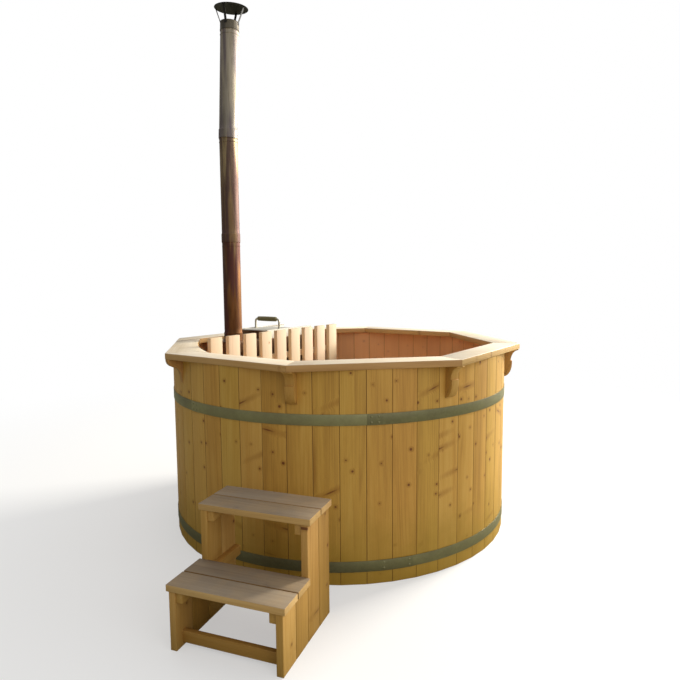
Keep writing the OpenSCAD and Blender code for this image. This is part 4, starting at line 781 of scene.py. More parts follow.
class HOTTUB_OT_floor(Operator):
    """Builds the floor boards that sit in the croze, and the bearers under them"""
    bl_idname = "hottub.floor"
    bl_label = "Floor"

    def execute(self, context):
        """Boards whose ends are cut to a circle: a board's outline point at x runs over the
        circle's chord at x."""
        wall = context.scene.hottub_wall
        inner = wall.radius - wall.thickness
        # how far the boards reach into the croze, their pitch, the gaps and their thickness
        into, pitch, gap, thick = 0.0117, 0.120, 0.0005, 0.038
        planed = softwood("planed_pine_floor", linear("#A87B47"), linear("#6C4620"),
                          linear("#C59A63"), rough=0.55)
        outline = rounded(pitch - gap, thick, 0.0012, 2)
        x = pitch * np.arange(-8, 9)
        run = half_chord(inner + into, x[:, None] + outline[None, :, 0])
        origin = np.stack([x, 0 * x, 0 * x + wall.floor - thick / 2], -1)
        made = boards(origin, (0, 1, 0), (1, 0, 0), -run, run, outline, 0.001, 21)
        piece("floor_boards_cut", made, planed, ["floor_boards"])
        wide, high, apart, play = 0.095, 0.074, 0.6, 0.002
        outline = rounded(wide, high, 0.002, 2)
        y = apart * np.array([-1, 0, 1])
        run = half_chord(inner - play, y[:, None] + outline[None, :, 0])
        origin = np.stack([0 * y, y, 0 * y + high / 2], -1)
        made = boards(origin, (-1, 0, 0), (0, 1, 0), -run, run, outline, 0.001, 22)
        piece("floor_bearers_cut", made, planed, ["floor_bearers"])
        return {"FINISHED"}


class HOTTUB_OT_hoops(Operator):
    """Builds the two hoops with their laps, rivets, lugs and draw bolts"""
    bl_idname = "hottub.hoops"
    bl_label = "Hoops"

    def band(self, hoops, z, a0, a1, over0, over1, age):
        """A strip carried round a circle. Its radius is the hoop's, plus a lap's height
        within over0 of its start or over1 of its end, with an S-shaped joggle between. Angles
        are in degrees."""
        joggle, play, lift = 0.7, 0.05, hoops.thickness + 0.00005
        # points lie close together where the strip may bend, and 1 degree apart elsewhere
        close = 1.2
        a = np.concatenate([
            np.linspace(a0, a0 + over0 + close, 24),
            np.arange(a0 + over0 + 2, a1 - over1 - 2, 1.0),
            np.linspace(a1 - over1 - close, a1, 24)])
        up = np.zeros_like(a)
        if over0:
            up = np.maximum(up, 1 - eased((a - a0 - over0 - play) / joggle))
        if over1:
            up = np.maximum(up, eased((a - a1 + over1 + play + joggle) / joggle))
        outline = rounded(hoops.thickness, hoops.width, 0.0006, 2)
        r = hoops.radius + hoops.thickness / 2 + lift * up
        out, _ = bearing(np.radians(a))
        points = (out[:, None] * (r[:, None] + outline[None, :, 0])[..., None]
                  + (z + hoops.width / 2 + outline[None, :, 1])[..., None] * UP)
        tone = {"board": np.broadcast_to((age, 0.5, 0.5), points.shape)}
        return points[None], tube_faces(1, len(a), len(outline)), tone

    def execute(self, context):
        """Three strips make the upper hoop and two the lower one. Rivets are low domes turned
        round the outward direction, and the draw bolts at the back have ridged threads."""
        hoops = context.scene.hottub_hoops
        strip = galvanised_strip("galvanised_hoop_strip", hoops.zinc)
        # in degrees: the draw bolts' bearing, the laps' bearings and the lengths of the laps
        bolts, side, front, low, span, low_span = 80, 210.2, 267.6, 280.6, 4.2, 9.6
        # from the bolts' middle to a strip's end, and from there to the lug's rivets
        half_gap, half_lug = 0.020, 0.026
        gap = math.degrees(math.asin(half_gap / hoops.radius))
        lug = math.degrees((half_gap + half_lug) / hoops.radius)
        first, last = bolts + gap, bolts + 360 - gap
        upper = [self.band(hoops, hoops.upper, *run) for run in (
            (first, side + span - 0.1, 0, 0, 0.45), (side, front + span - 0.1, span, 0, 0.9),
            (front, last, span, 0, 0.25))]
        lower = [self.band(hoops, hoops.lower, *run) for run in (
            (first, low, 0, low_span, 0.3), (low - low_span + 0.1, last, 0, 0, 0.42))]
        piece("upper_hoop_strip", joined(upper), strip, ["upper_hoop"])
        piece("lower_hoop_strip", joined(lower), strip, ["lower_hoop"])
        # rivets go in pairs, over a lap or over the thicker foot of a lug
        lap, above, apart = hoops.radius + 2 * hoops.thickness, 0.004, 0.028
        spots = [(b, hoops.upper, lap) for b in (side + 1.1, side + 3.1, front + 1.1, front + 3.1)]
        spots += [(b, hoops.lower, lap) for b in (low - 1.1, low - low_span + 1.1)]
        spots += [(bolts + s * (gap + lug), z, lap + above) for s in (-1, 1)
                  for z in (hoops.lower, hoops.upper)]
        spots = np.array([(b, z + (hoops.width + s * apart) / 2, r)
                          for b, z, r in spots for s in (-1, 1)])
        out, _ = bearing(np.radians(spots[:, 0]))
        origin = out * spots[:, 2:3] + spots[:, 1:2] * UP
        dome = np.concatenate([[[0.0030, -0.006], [0.0030, -0.0001]],
                               arc(0, 0, 0.0060, 0.0026, 0, 82, 5), [[0.0004, 0.00262]]])
        points, faces, _ = lathe(dome, origin, out, 14)
        tone = {"board": np.full(points.shape, 0.5)}
        piece("hoop_rivet_heads", (points, faces, tone), strip, ["hoop_rivets"],
              crease=50)
        zinc = plain_metal("zinc_plated_bolt", linear("#A7A9A4"), 0.34, dirt=0.35)
        axis, way = bearing(math.radians(bolts))
        bolt_out, root, crest, half_pitch = 1.05796, 0.0051, 0.0060, 0.0016
        hexagon = arc(0, 0, 0.0125, 0.0125, 0, 300, 5)
        thread = np.arange(-0.030, 0.0640, half_pitch)
        ridge = np.stack([np.where(np.arange(len(thread)) % 2, root, crest), thread], -1)
        rod = np.concatenate([[[0.0006, -0.0262], [crest, -0.0258]], ridge,
                              [[0.0044, 0.0645], [0.0006, 0.0650]]])
        parts = []
        for z in (hoops.lower, hoops.upper):
            at = axis * bolt_out + (z + hoops.width / 2) * UP
            parts.append(lathe(rod, at, way, 20))
            for start, stop in ((-0.0356, -0.0260), (0.0260, 0.0356)):
                parts.append(boards(at, way, UP, start, stop, hexagon, 0.0012)[:2] + ({},))
        piece("draw_bolts_threaded", joined(parts), zinc, ["hoop_draw_bolts"],
              crease=30)
        dress(strip, "hoop_lugs")
        return {"FINISHED"}


class HOTTUB_OT_rim(Operator):
    """Builds the eight rim boards: six mitred, one run through and the wide corner board"""
    bl_idname = "hottub.rim"
    bl_label = "Rim"
    joint = 0.0014  # metres between two boards

    def bowed(self, rim, y):
        """Where the wide board's inner edge lies at y: straight as far as y = -134 mm, and
        from there inwards along a circle."""
        past = np.maximum(y + 0.134, 0)
        return rim.reach - rim.width - rim.curve + np.sqrt(rim.curve ** 2 - past ** 2)

    def corner(self, rim, z):
        """The wide board is a patch between its curved inner edge I(t), its straight outer
        edge O(t) and its last end E(s): I(t)(1 - s) + O(t)s + t(E(s) - I(1)(1 - s) - O(1)s).
        A rounded outline is carried along it, its x giving s."""
        out, inn = rim.reach, rim.reach - rim.width
        extra = rim.corner - rim.width
        butt = self.joint / math.sin(SIDE_A) - (2 * inn * math.sin(SIDE_A) - out)
        cut_inn, cut_out = (x * SLOPE - self.joint / 2 / math.cos(SIDE_A / 2)
                            for x in (inn, out))
        # the curve ends on the 45 degree line through the inner corner of the mitre
        y = np.linspace(cut_inn, cut_inn + extra, 4000)
        last = y[np.argmin(np.abs(cut_inn + inn - self.bowed(rim, y) - y))]
        t = np.linspace(0, 1, 49)[:, None]
        iy = butt - rim.width + (last - butt + rim.width) * t
        inner = np.concatenate([self.bowed(rim, iy), iy], -1)
        outer = np.concatenate([out + 0 * t, butt + (cut_out - butt) * t], -1)
        w = np.linalg.norm(outer - inner, axis=-1)[:, None]
        extra_at = np.linalg.norm([extra, extra]) / np.linalg.norm(outer[-1] - inner[-1])
        knee = np.array([0.0, rim.thickness / 2])
        outline = rounded(rim.width, rim.thickness, 0.003, 3)
        outline = np.concatenate([outline[:4], [knee], outline[4:12], [-knee], outline[12:]])
        x = outline[None, :, 0]
        s = np.where(x < 0, (x + rim.width / 2) / w, 1 - (rim.width / 2 - x) / w)
        s = np.where(x == 0, extra_at, s)
        corner = np.array([inn, cut_inn])
        end = np.where((s < extra_at)[..., None],
                       inner[-1] + (corner - inner[-1]) * (s / extra_at)[..., None],
                       corner + (outer[-1] - corner)
                       * ((s - extra_at) / (1 - extra_at))[..., None])
        flat = (inner[:, None] * (1 - s[..., None]) + outer[:, None] * s[..., None]
                + t[..., None] * (end - inner[-1] * (1 - s[..., None]) - outer[-1] * s[..., None]))
        local = np.concatenate([flat, np.broadcast_to(outline[None, :, 1:], flat.shape[:2] + (1,))],
                               -1)
        board_middle = 0.95
        own = np.stack([local[..., 0] - board_middle, local[..., 2], local[..., 1]], -1)
        axis, way = bearing(SIDE_A * 7 - FIRST_SIDE)
        points = local[..., :1] * axis + local[..., 1:2] * way + (local[..., 2:] + z) * UP
        tables = wood_tables(own[None], 38)
        # the butt joint is open, and the shade in it is painted as a dark band: 25 mm of it, drawn
        # wide so that it shows when seen from the side; nearness falls by 1 in 0.9 m
        far = np.broadcast_to(t * np.linalg.norm(outer[-1] - outer[0]), own.shape[:2])
        tables["seam"] = np.stack([1.004 - far / 0.9, 0 * far, 0 * far], -1)[None]
        # a third board number of 1 makes this painted shade its darkest
        tables["board"] = tables["board"] * [1, 1, 0] + [0, 0, 1]
        return points[None], tube_faces(1, len(t), len(outline)), tables

    def execute(self, context):
        """A mitred board's outline point at x runs from -(r + x) tan 22.5 to +(r + x) tan
        22.5, less half the joint's gap, r being the radius of the board's middle."""
        rim = context.scene.hottub_rim
        # the rim's top faces turn near white: bleaching, and a painted highlight of the lit tops,
        # over edges that keep the darker wood colour
        planed = softwood("planed_pine_rim", rim.wood, linear("#9A6E38"), linear("#D9B277"),
                          rough=0.52, knots=0.3, weather_and_top_light=0.9, aged_and_lit_colours=("#D6C7A6", "#EFE6D4"),
                          spread=0.4)
        z = context.scene.hottub_wall.height + rim.thickness / 2
        mid = rim.reach - rim.width / 2
        outline = rounded(rim.width, rim.thickness, 0.003, 3)
        run = (mid + outline[:, 0]) * SLOPE - self.joint / 2 / math.cos(SIDE_A / 2)
        names = ("front_left", "front", "front_right", "right", "back_right", "back", "back_left")
        for k, name in enumerate(names):
            axis, way = bearing(SIDE_A * k - FIRST_SIDE)
            through = rim.reach / math.sin(SIDE_A) - mid - outline[:, 0]
            stop = through if name == "back_left" else run
            made = boards(axis * mid + z * UP, way, axis, -run[None], stop[None], outline, 0.0008,
                          30 + k)
            piece(f"rim_{name}_planed", made, planed, [f"rim_{name}_board"])
        piece("rim_corner_planed", self.corner(rim, z), planed, ["rim_corner_board"])
        return {"FINISHED"}


class HOTTUB_OT_corbels(Operator):
    """Builds the eight carved corbels under the rim's corners"""
    bl_idname = "hottub.corbels"
    bl_label = "Corbels"

    def execute(self, context):
        """The carved profile, in outward distance and drop below the rim, is carried across
        the corbel's width with rounded edges: a hollow over a round, or a round over a
        hollow on the corbel that is turned the other way."""
        rim = context.scene.hottub_rim
        wall = context.scene.hottub_wall
        hollow = np.concatenate([
            [[0.0001, 0], [0.0805, 0], [0.082, 0.0015], [0.082, 0.0045]],
            arc(0.082, 0.072, 0.044, 0.066, 268, 180, 18), [[0.0455, 0.0722], [0.046, 0.0727]],
            arc(0, 0.084, 0.046, 0.082, 0, 90, 20), [[0.0001, 0.166]]])
        round_over = np.concatenate([
            [[0.0001, 0], [0.0805, 0], [0.082, 0.0015]],
            arc(0.038, 0.006, 0.044, 0.041, 0, 90, 18), [[0.034, 0.0472], [0.034, 0.0525]],
            arc(0.034, 0.166, 0.034, 0.113, 270, 180, 18)[1:]])
        parts = []
        for k in range(SIDES):
            axis, way = bearing(SIDE_A * (k + 0.5) - FIRST_SIDE)
            outline = (round_over if k == 7 else hollow)[::-1] * [1, -1]
            origin = axis * wall.radius + wall.height * UP
            points, faces, _ = boards(origin, -way, axis, -rim.corbel / 2, rim.corbel / 2, outline,
                                      0.0015)
            rel = points - origin
            own = np.stack([rel @ -way, rel @ axis, rel @ UP], -1)
            parts.append((points, faces, wood_tables(own, 60 + k)))
        sawn = softwood("sanded_pine_corbels", linear("#BD8A42"), linear("#8C5A22"),
                        linear("#D2A35A"), ring=0.006, knots=0.15, spread=0.7)
        piece("corbels_carved", joined(parts), sawn, ["corbels"], crease=38)
        return {"FINISHED"}


class HOTTUB_OT_guard(Operator):
    """Builds the slatted guard in front of the stove"""
    bl_idname = "hottub.guard"
    bl_label = "Guard"

    def execute(self, context):
        """Upright slats side by side on two rails, with posts between the rails, all plain
        boards in the stove's frame, which is turned by 45 degrees."""
        guard = context.scene.hottub_guard
        wall = context.scene.hottub_wall
        over, back = bearing(SIDE_A)
        # the slats' front face is this far behind the tub's axis, and their middle aside of it
        front, shift = 0.445, -0.042
        # the rails' depth and height, a post's width, the top rail's drop below the slats, how
        # far it runs past them, and the lower rail's play at the wall
        deep, high, post, below, past, play = 0.030, 0.040, 0.045, 0.160, 0.030, 0.0005
        x = shift + guard.pitch * (np.arange(guard.slats) - (guard.slats - 1) / 2)
        pale = softwood("planed_pine_guard", guard.wood, linear("#A87F52"), linear("#DABD94"),
                        knots=0.12, spread=0.4)
        origin = x[:, None] * over + (front + guard.thickness / 2) * back
        made = boards(origin, UP, over, wall.floor, guard.top,
                      rounded(guard.width, guard.thickness, 0.002), 0.0015, 41)
        piece("guard_slats_planed", made, pale, ["guard_slats"])
        rail = rounded(deep, high, 0.003)
        top = guard.top - below - high / 2
        rail_y = front + guard.thickness + deep / 2
        middle = rail_y * back
        reach = guard.width / 2 + past
        made = boards(middle + top * UP, over, back, x[0] - reach, x[-1] + reach, rail, 0.002, 42)
        piece("guard_top_rail_planed", made, pale, ["guard_top_rail"])
        run = half_chord(wall.radius - wall.thickness - play, rail_y + rail[:, 0])[None]
        made = boards(middle + (wall.floor + high / 2) * UP, over, back, -run, run, rail, 0.002, 43)
        piece("guard_bottom_rail_planed", made, pale, ["guard_bottom_rail"])
        posts = np.array([x[0], shift, x[-1]])[:, None] * over + middle
        made = boards(posts, UP, over, wall.floor + high, top - high / 2,
                      rounded(post, deep, 0.003), 0.0005, 44)
        piece("guard_posts_planed", made, pale, ["guard_posts"])
        return {"FINISHED"}


class HOTTUB_OT_stove(Operator):
    """Dresses the stove's plates and grate, and builds the lid guides and weld beads"""
    bl_idname = "hottub.stove"
    bl_label = "Stove"

    def execute(self, context):
        """The plates keep their shape. A guide is an L-shaped strip carried along the stove,
        and a weld bead is a small round carried along each joint with ripples 6 mm apart."""
        stove = context.scene.hottub_stove
        over, back = bearing(SIDE_A)
        # the walls, top plate, hatch frame and weld beads are dark brown: heat browning and soot,
        # and painted shade of the space behind the guard
        browned_and_shaded = plain_metal("heat_browned_shaded_aluminium", linear("#8C6E55"), 0.5, dirt=0.85,
                             dirt_colour="#432A1B")
        iron = plain_metal("cast_iron_grate", linear("#4A4642"), 0.6, 200, 0.8)
        folded = plain_metal("mill_finish_aluminium_guides", stove.metal, 0.5, dirt=0.3,
                             dirt_colour="#8A7660")
        dress(browned_and_shaded, "stove_walls", "stove_skids", "hatch_frame", "stove_brackets",
              "stove_top_plate")
        dress(iron, "stove_baffle", "fire_grate", "grate_ledges")
        # the stove's sides, then a guide's start, its place beside the stove's middle, its
        # height, the width of its lip and its thickness
        left, right, near, far = -0.360, 0.420, 0.550, 0.820
        start, apart, web, lip, thick = -0.069, 0.132, stove.collar + 0.0068, 0.009, 0.003
        outline = np.array([[0, 0], [thick, 0], [thick, web + thick],
                            [thick - 0.0008, web + thick], [thick - lip, web + thick],
                            [thick - lip, web], [0, web]])
        parts = []
        for side in (-1, 1):
            points = (np.linspace(start, right, 2)[:, None, None] * over
                      + (STOVE_BACK + side * (apart + outline[None, :, :1])) * back
                      + (stove.top + outline[None, :, 1:]) * UP)
            faces = tube_faces(1, 2, len(outline))
            if volume(points.reshape(-1, 3), faces) < 0:
                faces = [f[:, ::-1] for f in faces]
            parts.append((points[None], faces, {}))
        piece("lid_guides_folded", joined(parts), folded, ["lid_guides"])
        # a bead's radius, its ripples' spacing and share, and its drop below the stove's top
        bead, ripple, swell, below = 0.00256, 0.006, 0.16, 0.0062
        edges = [((left, y), (right, y)) for y in (near, far)]
        edges += [((x, near), (x, far)) for x in (left, right)]
        parts = []
        for a, b in edges:
            t = np.linspace(0, 1, 160)[:, None]
            line = np.array(a) * (1 - t) + np.array(b) * t
            path = line[:, :1] * over + line[:, 1:] * back + (stove.top - below) * UP
            waves = np.linalg.norm(np.subtract(b, a)) / ripple
            size = 1 + swell * np.sin(t[:, 0] * waves * 2 * np.pi)
            points, faces, _ = swept(path, arc(0, 0, bead, bead, 0, 330, 11))
            centre = path[None, :, None]
            points = centre + (points - centre) * size[None, :, None, None]
            parts.append((points, faces, {}))
        piece("stove_weld_beads", joined(parts), browned_and_shaded)
        return {"FINISHED"}


class HOTTUB_OT_lid(Operator):
    """Builds the sliding fuel lid and its handle"""
    bl_idname = "hottub.lid"
    bl_label = "Fuel lid"

    def execute(self, context):
        """The lid is a rounded rectangle carried through its thickness. The handle is a round
        bar carried along a path with two bends, welded at its feet, and its grip is turned."""
        stove = context.scene.hottub_stove
        over, back = bearing(SIDE_A)
        mill = plain_metal("mill_finish_aluminium_lid", stove.metal, 0.5, dirt=0.3,
                           dirt_colour="#5A544B")
        # the bar's pale colour is partly painted light
        bar = plain_metal("bent_steel_bar", linear("#C6C0AE"), 0.42, dirt=0.3)
        # the lid's place along the stove, its width and thickness, and its play on its seat
        aside, wide, thick, play = 0.081, 0.2632, 0.006, 0.0004
        centre = aside * over + STOVE_BACK * back
        low = stove.top + stove.collar + play
        outline = rounded(stove.lid, wide, 0.006, 5)
        made = boards(centre, UP, over, low, low + thick, outline, 0.001)
        piece("stove_lid_plate", made, mill, ["stove_lid"], "lid")
        top, radius, grip_radius = low + thick, 0.007, 0.015
        high = top + stove.rise - grip_radius
        half = stove.handle / 2 - radius
        corners = [centre + s * half * back + z * UP for s, z in
                   ((-1, top), (-1, high), (1, high), (1, top))]
        rod = swept(bent(corners, 0.024, 8), arc(0, 0, radius, radius, 0, 345, 23), over)
        foot = np.array([[0.0005, 0], [0.0115, 0], [0.012, 0.0005], [0.012, 0.0035],
                         [0.0115, 0.004], [0.0098, 0.004], [0.0080, 0.0050], [0.0072, 0.0070],
                         [0.0005, 0.0070]])
        feet = lathe(foot, [corners[0], corners[-1]], UP, 28)
        piece("handle_rod_bent", joined([rod, feet]), bar, ["handle_rod"], "lid")
        # the grip's half length, its radius at the middle, its taper, its rounding and bore
        end, belly, taper, soft, bore = 0.088, 0.0172, 0.0014, 0.005, 0.0073
        y = np.linspace(-end, end, 33)
        fade = np.clip((end - np.abs(y)) / soft, 0, 1)
        outer = np.stack([belly - taper * (y / end) ** 2
                          - soft * (1 - np.sqrt(1 - (1 - fade) ** 2)), y], -1)
        ring = np.concatenate([outer, [[bore, end], [bore, -end]]])
        middle = centre + high * UP
        points, faces, _ = turned(ring, middle, back, 32)
        rel = points - middle
        own = np.stack([rel @ over, rel @ UP, rel @ back], -1)
        # the grip's dark olive is painted shade with a painted green reflection
        wood = softwood("turned_beech_grip", linear("#766E45"), linear("#3F3920"),
                        linear("#978C5E"), ring=0.004, rough=0.5, spread=0.2)
        piece("handle_grip_turned", (points, faces, wood_tables(own, 51)), wood,
              ["handle_grip"], "lid")
        return {"FINISHED"}


def flue_line(scene):
    """The flue's foot, the height at which its top pipe starts to lean and that pipe's axis,
    which goes out by sin(lean) as it rises by cos(lean)."""
    stove, flue = scene.hottub_stove, scene.hottub_flue
    over, back = bearing(SIDE_A)
    leans_to, _ = bearing(math.radians(-9.8))
    # the foot's place along the stove, and how far above the joint the lean starts
    aside, above = -0.259, 0.025
    axis = unit(math.sin(flue.lean) * leans_to + math.cos(flue.lean) * UP)
    return aside * over + STOVE_BACK * back, stove.top + flue.lower + flue.upper + above, axis


class HOTTUB_OT_flue(Operator):
    """Builds the three flue pipes and dresses the spigot they stand on"""
    bl_idname = "hottub.flue"
    bl_label = "Flue"

    def pipe(self, flue, z0, z1, stop):
        """A pipe's wall as (radius, height): socket, flare, straight wall with two half-round
        beads, and back down inside."""
        r, wall, socket, flare, play = flue.diameter / 2, 0.0015, 0.050, 0.006, 0.0014
        wide = r + play + wall
        neck = z0 + socket
        top = z1 + socket - 0.003
        straight = np.linspace(neck + 0.04, z1 - 0.06, 7)
        beads = [arc(r, z, 0.002, 0.002, -90, 90, 8) for z in (z1 - 0.026, z1 - stop)]
        return np.concatenate([
            [[wide, z0], [wide, neck - 0.002]],
            arc(wide - 0.0029, neck + 0.002, 0.0029, 0.004, 0, 60, 3),
            [[r, neck + flare + 0.002]], np.stack([np.full(7, r), straight], -1), *beads,
            [[r, top], [r - wall, top], [r - wall, neck + flare], [wide - wall, neck - 0.001],
             [wide - wall, z0]]])

    def seam(self, a):
        """The lock seam's height at angle a: 1 mm exp(-(x / 3.2 mm)^4), x being the way
        round the pipe from the seam."""
        x = (a - math.radians(75)) * bpy.context.scene.hottub_flue.diameter / 2
        return 0.0010 * np.exp(-((x / 0.0032) ** 4))

    def execute(self, context):
        """Each pipe is its wall turned round its axis, with a lock seam down its back: a
        smooth bump 1 mm high and 7 mm wide. The top pipe's axis leans."""
        flue = context.scene.hottub_flue
        foot, pivot, lean = flue_line(context.scene)
        stands_off = 0.00005
        joints = np.cumsum([context.scene.hottub_stove.top, flue.lower, flue.upper, flue.upper])
        joints[0] += stands_off
        finishes = (
            tinted_stainless("heat_browned_stainless", flue.straw, linear("#8A633F"),
                             linear("#5A3A22"), 0.9, 2.6, linear("#57383C")),
            tinted_stainless("heat_bronzed_stainless", linear("#AA9674"), flue.straw, flue.brown,
                             1.4, 3.2, linear("#5B4548")),
            tinted_stainless("rolled_stainless", linear("#B0A593"), flue.steel, linear("#8C7A66"),
                             2.0, 3.4, linear("#766B70")))
        # how far under a pipe's end its upper bead stops the next pipe
        specs = (("lower", 0.00182, "flue_red"), ("middle", 0.0047, "flue_bronze"),
                 ("top", 0.0023, "flue_bright"))
        for (name, stop, slot), low, high, finish in zip(specs, joints, joints[1:], finishes):
            start, axis = (pivot, lean) if name == "top" else (0, UP)
            wall = self.pipe(flue, low, high, stop) - [0, start]
            made = turned(wall, foot + start * UP, axis, 96, self.seam)
            piece(f"{name}_flue_rolled", made, finish, [f"{name}_flue_pipe"], crease=40)
        dress(finishes[0], "flue_spigot")
        return {"FINISHED"}


class HOTTUB_OT_cap(Operator):
    """Builds the cap's collar, its four straps and the cone"""
    bl_idname = "hottub.cap"
    bl_label = "Rain cap"

    def execute(self, context):
        """The collar is turned round the top pipe's axis, and the cone round one that nods
        forward and sits a little aside. A strap is a flat bar carried up the collar, out, and
        up to the cone, which it meets where its height over the plane of the cone's edge is
        the cone's own at that radius."""
        flue = context.scene.hottub_flue
        foot, pivot, axis = flue_line(context.scene)
        base = foot + pivot * UP
        top = context.scene.hottub_stove.top + flue.lower + 2 * flue.upper - pivot
        cap_axis, aside = unit([0.028, -0.074, 1.0]), np.array([0.009, 0.0, 0.0])
        # the collar's height, the cone's edge above it, the cone's rise and its radius
        tall, above, rise, edge = 0.054, 0.086, 0.034, flue.cap / 2
        inner, wall = flue.diameter / 2 + 0.0004, 0.0012
        outer = inner + wall
        bright = tinted_stainless("rolled_stainless_collar", linear("#7B7365"), linear("#6E665A"),
                                  linear("#645645"), 2.0, 3.3, linear("#57534F"))
        soot = sooted_steel("sooted_steel_cap")
        lip = arc(inner + wall * 0.9, top + 0.0020, 0.0016, 0.0016, 200, 340, 5)
        collar = np.concatenate([
            [[inner, top]], lip, [[outer, top + 0.005], [outer, top + 0.050],
            [outer + 0.0008, top + 0.052], [outer, top + tall], [inner, top + tall]]])
        made = turned(collar, base, axis, 96)
        piece("cap_collar_rolled", made, bright, ["cap_collar"], crease=40)
        side, _ = bearing(SIDE_A)
        side = unit(side - axis * (side @ axis))
        other = np.cross(axis, side)
        high = top + tall + above
        # a strap's middle lies this far from the axis on the collar, and this far under the cone
        near = outer + 0.00105
        out = near + 0.034
        straps, rivets, ways = [], [], []
        first_strap = 21
        for a in np.radians(first_strap + 90 * np.arange(4)):
            way = side * math.cos(a) + other * math.sin(a)
            spot = way * out - aside
            under = rise * (1 - np.linalg.norm(spot) / edge) - spot @ cap_axis
            stop = high + under / (axis @ cap_axis) - 0.0008
            corners = [base + way * q + axis * h for q, h in
                       ((near, top + 0.032), (near, top + tall), (out, high), (out, stop))]
            straps.append(swept(bent(corners, 0.010, 6), rounded(0.016, 0.002, 0.0007, 2),
                                np.cross(axis, way)))
            rivets.append(base + way * (near + 0.001) + axis * (top + 0.041))
            ways.append(way)
        piece("cap_straps_bent", joined(straps), soot, ["cap_straps"], crease=40)
        dome = np.concatenate([[[0.0002, -0.0006], [0.0034, -0.0006]],
                               arc(0, 0, 0.0034, 0.0019, 0, 80, 4)])
        made = lathe(dome, np.array(rivets), np.array(ways), 12)
        piece("cap_strap_rivets", made, soot, crease=50)
        sheet = np.concatenate([
            [[0.0001, rise], [edge - 0.002, 0.0006]],
            arc(edge - 0.0012, 0.0008, 0.0013, 0.0013, 230, 420, 8),
            [[edge - 0.004, 2 * wall], [0.012, rise - 0.0025 + wall], [0.0001, rise + wall]]])
        made = turned(sheet, base + axis * high + aside, cap_axis, 96)
        piece("rain_cap_spun", made, soot, ["rain_cap"], crease=40)
        return {"FINISHED"}


class HOTTUB_OT_drain(Operator):
    """Builds the drain through the floor and its lift-out plug"""
    bl_idname = "hottub.drain"
    bl_label = "Drain"

    def execute(self, context):
        """The body is a closed outline of (radius, height) turned round the drain's axis, with
        a ridged thread. The plug is turned too, and carries a wire ring."""
        floor = context.scene.hottub_wall.floor
        at = np.array([0, -0.480, 0])
        brass = plain_metal("turned_brass", linear("#B8944A"), 0.26, dirt=0.3,
                            dirt_colour="#4A3B1E")
        rubber = moulded_rubber("moulded_black_rubber")
        top, root, crest, half_pitch = floor + 0.003, 0.0262, 0.0270, 0.0015
        z = np.arange(0.0535, floor + 0.0020, half_pitch)
        thread = np.stack([np.where(np.arange(len(z)) % 2, root, crest), z], -1)
        body = np.concatenate([
            [[0.020, 0.008], [0.0245, 0.008], [0.025, 0.0085], [0.025, 0.0520]], thread,
            [[crest, top], [0.0415, top], [0.042, top + 0.0008]],
            arc(0.0400, top + 0.0020, 0.0020, 0.0020, 0, 90, 4),
            [[0.0225, top + 0.0040], [0.0200, top + 0.0030]]])
        piece("drain_body_turned", turned(body, at, UP, 72), brass, ["drain_body"])
        hexagon = arc(0, 0, 0.036, 0.036, 0, 300, 5)
        made = boards(at, UP, (1, 0, 0), 0.058, 0.0739, hexagon, 0.0015)
        piece("drain_nut_milled", made, brass, ["drain_nut"])
        dress(rubber, "drain_gasket")
        low = top + 0.004 + 0.00035
        plug = np.concatenate([
            [[0.0004, low - 0.014], [0.0168, low - 0.014], [0.0177, low - 0.013], [0.01965, low],
             [0.0286, low]], arc(0.0276, low + 0.0020, 0.0018, 0.0020, -60, 90, 6),
            [[0.0080, low + 0.0040], [0.0060, low + 0.0055], [0.0004, low + 0.0058]]])
        a = np.linspace(0, 2 * np.pi, 40, endpoint=False)[:, None]
        # the ring's radius, its wire's and the height of its middle over the plug's lip
        loop, gauge, above = 0.017, 0.0015, 0.021
        ring = at + (low + above) * UP + loop * (np.cos(a) * [1.0, 0, 0] + np.sin(a) * UP)
        wire = swept(ring, arc(0, 0, gauge, gauge, 0, 315, 7), (0, 1, 0), closed=True)
        piece("drain_plug_moulded", joined([lathe(plug, at, UP, 48), wire]), rubber,
              ["drain_plug"], "plug")
        return {"FINISHED"}


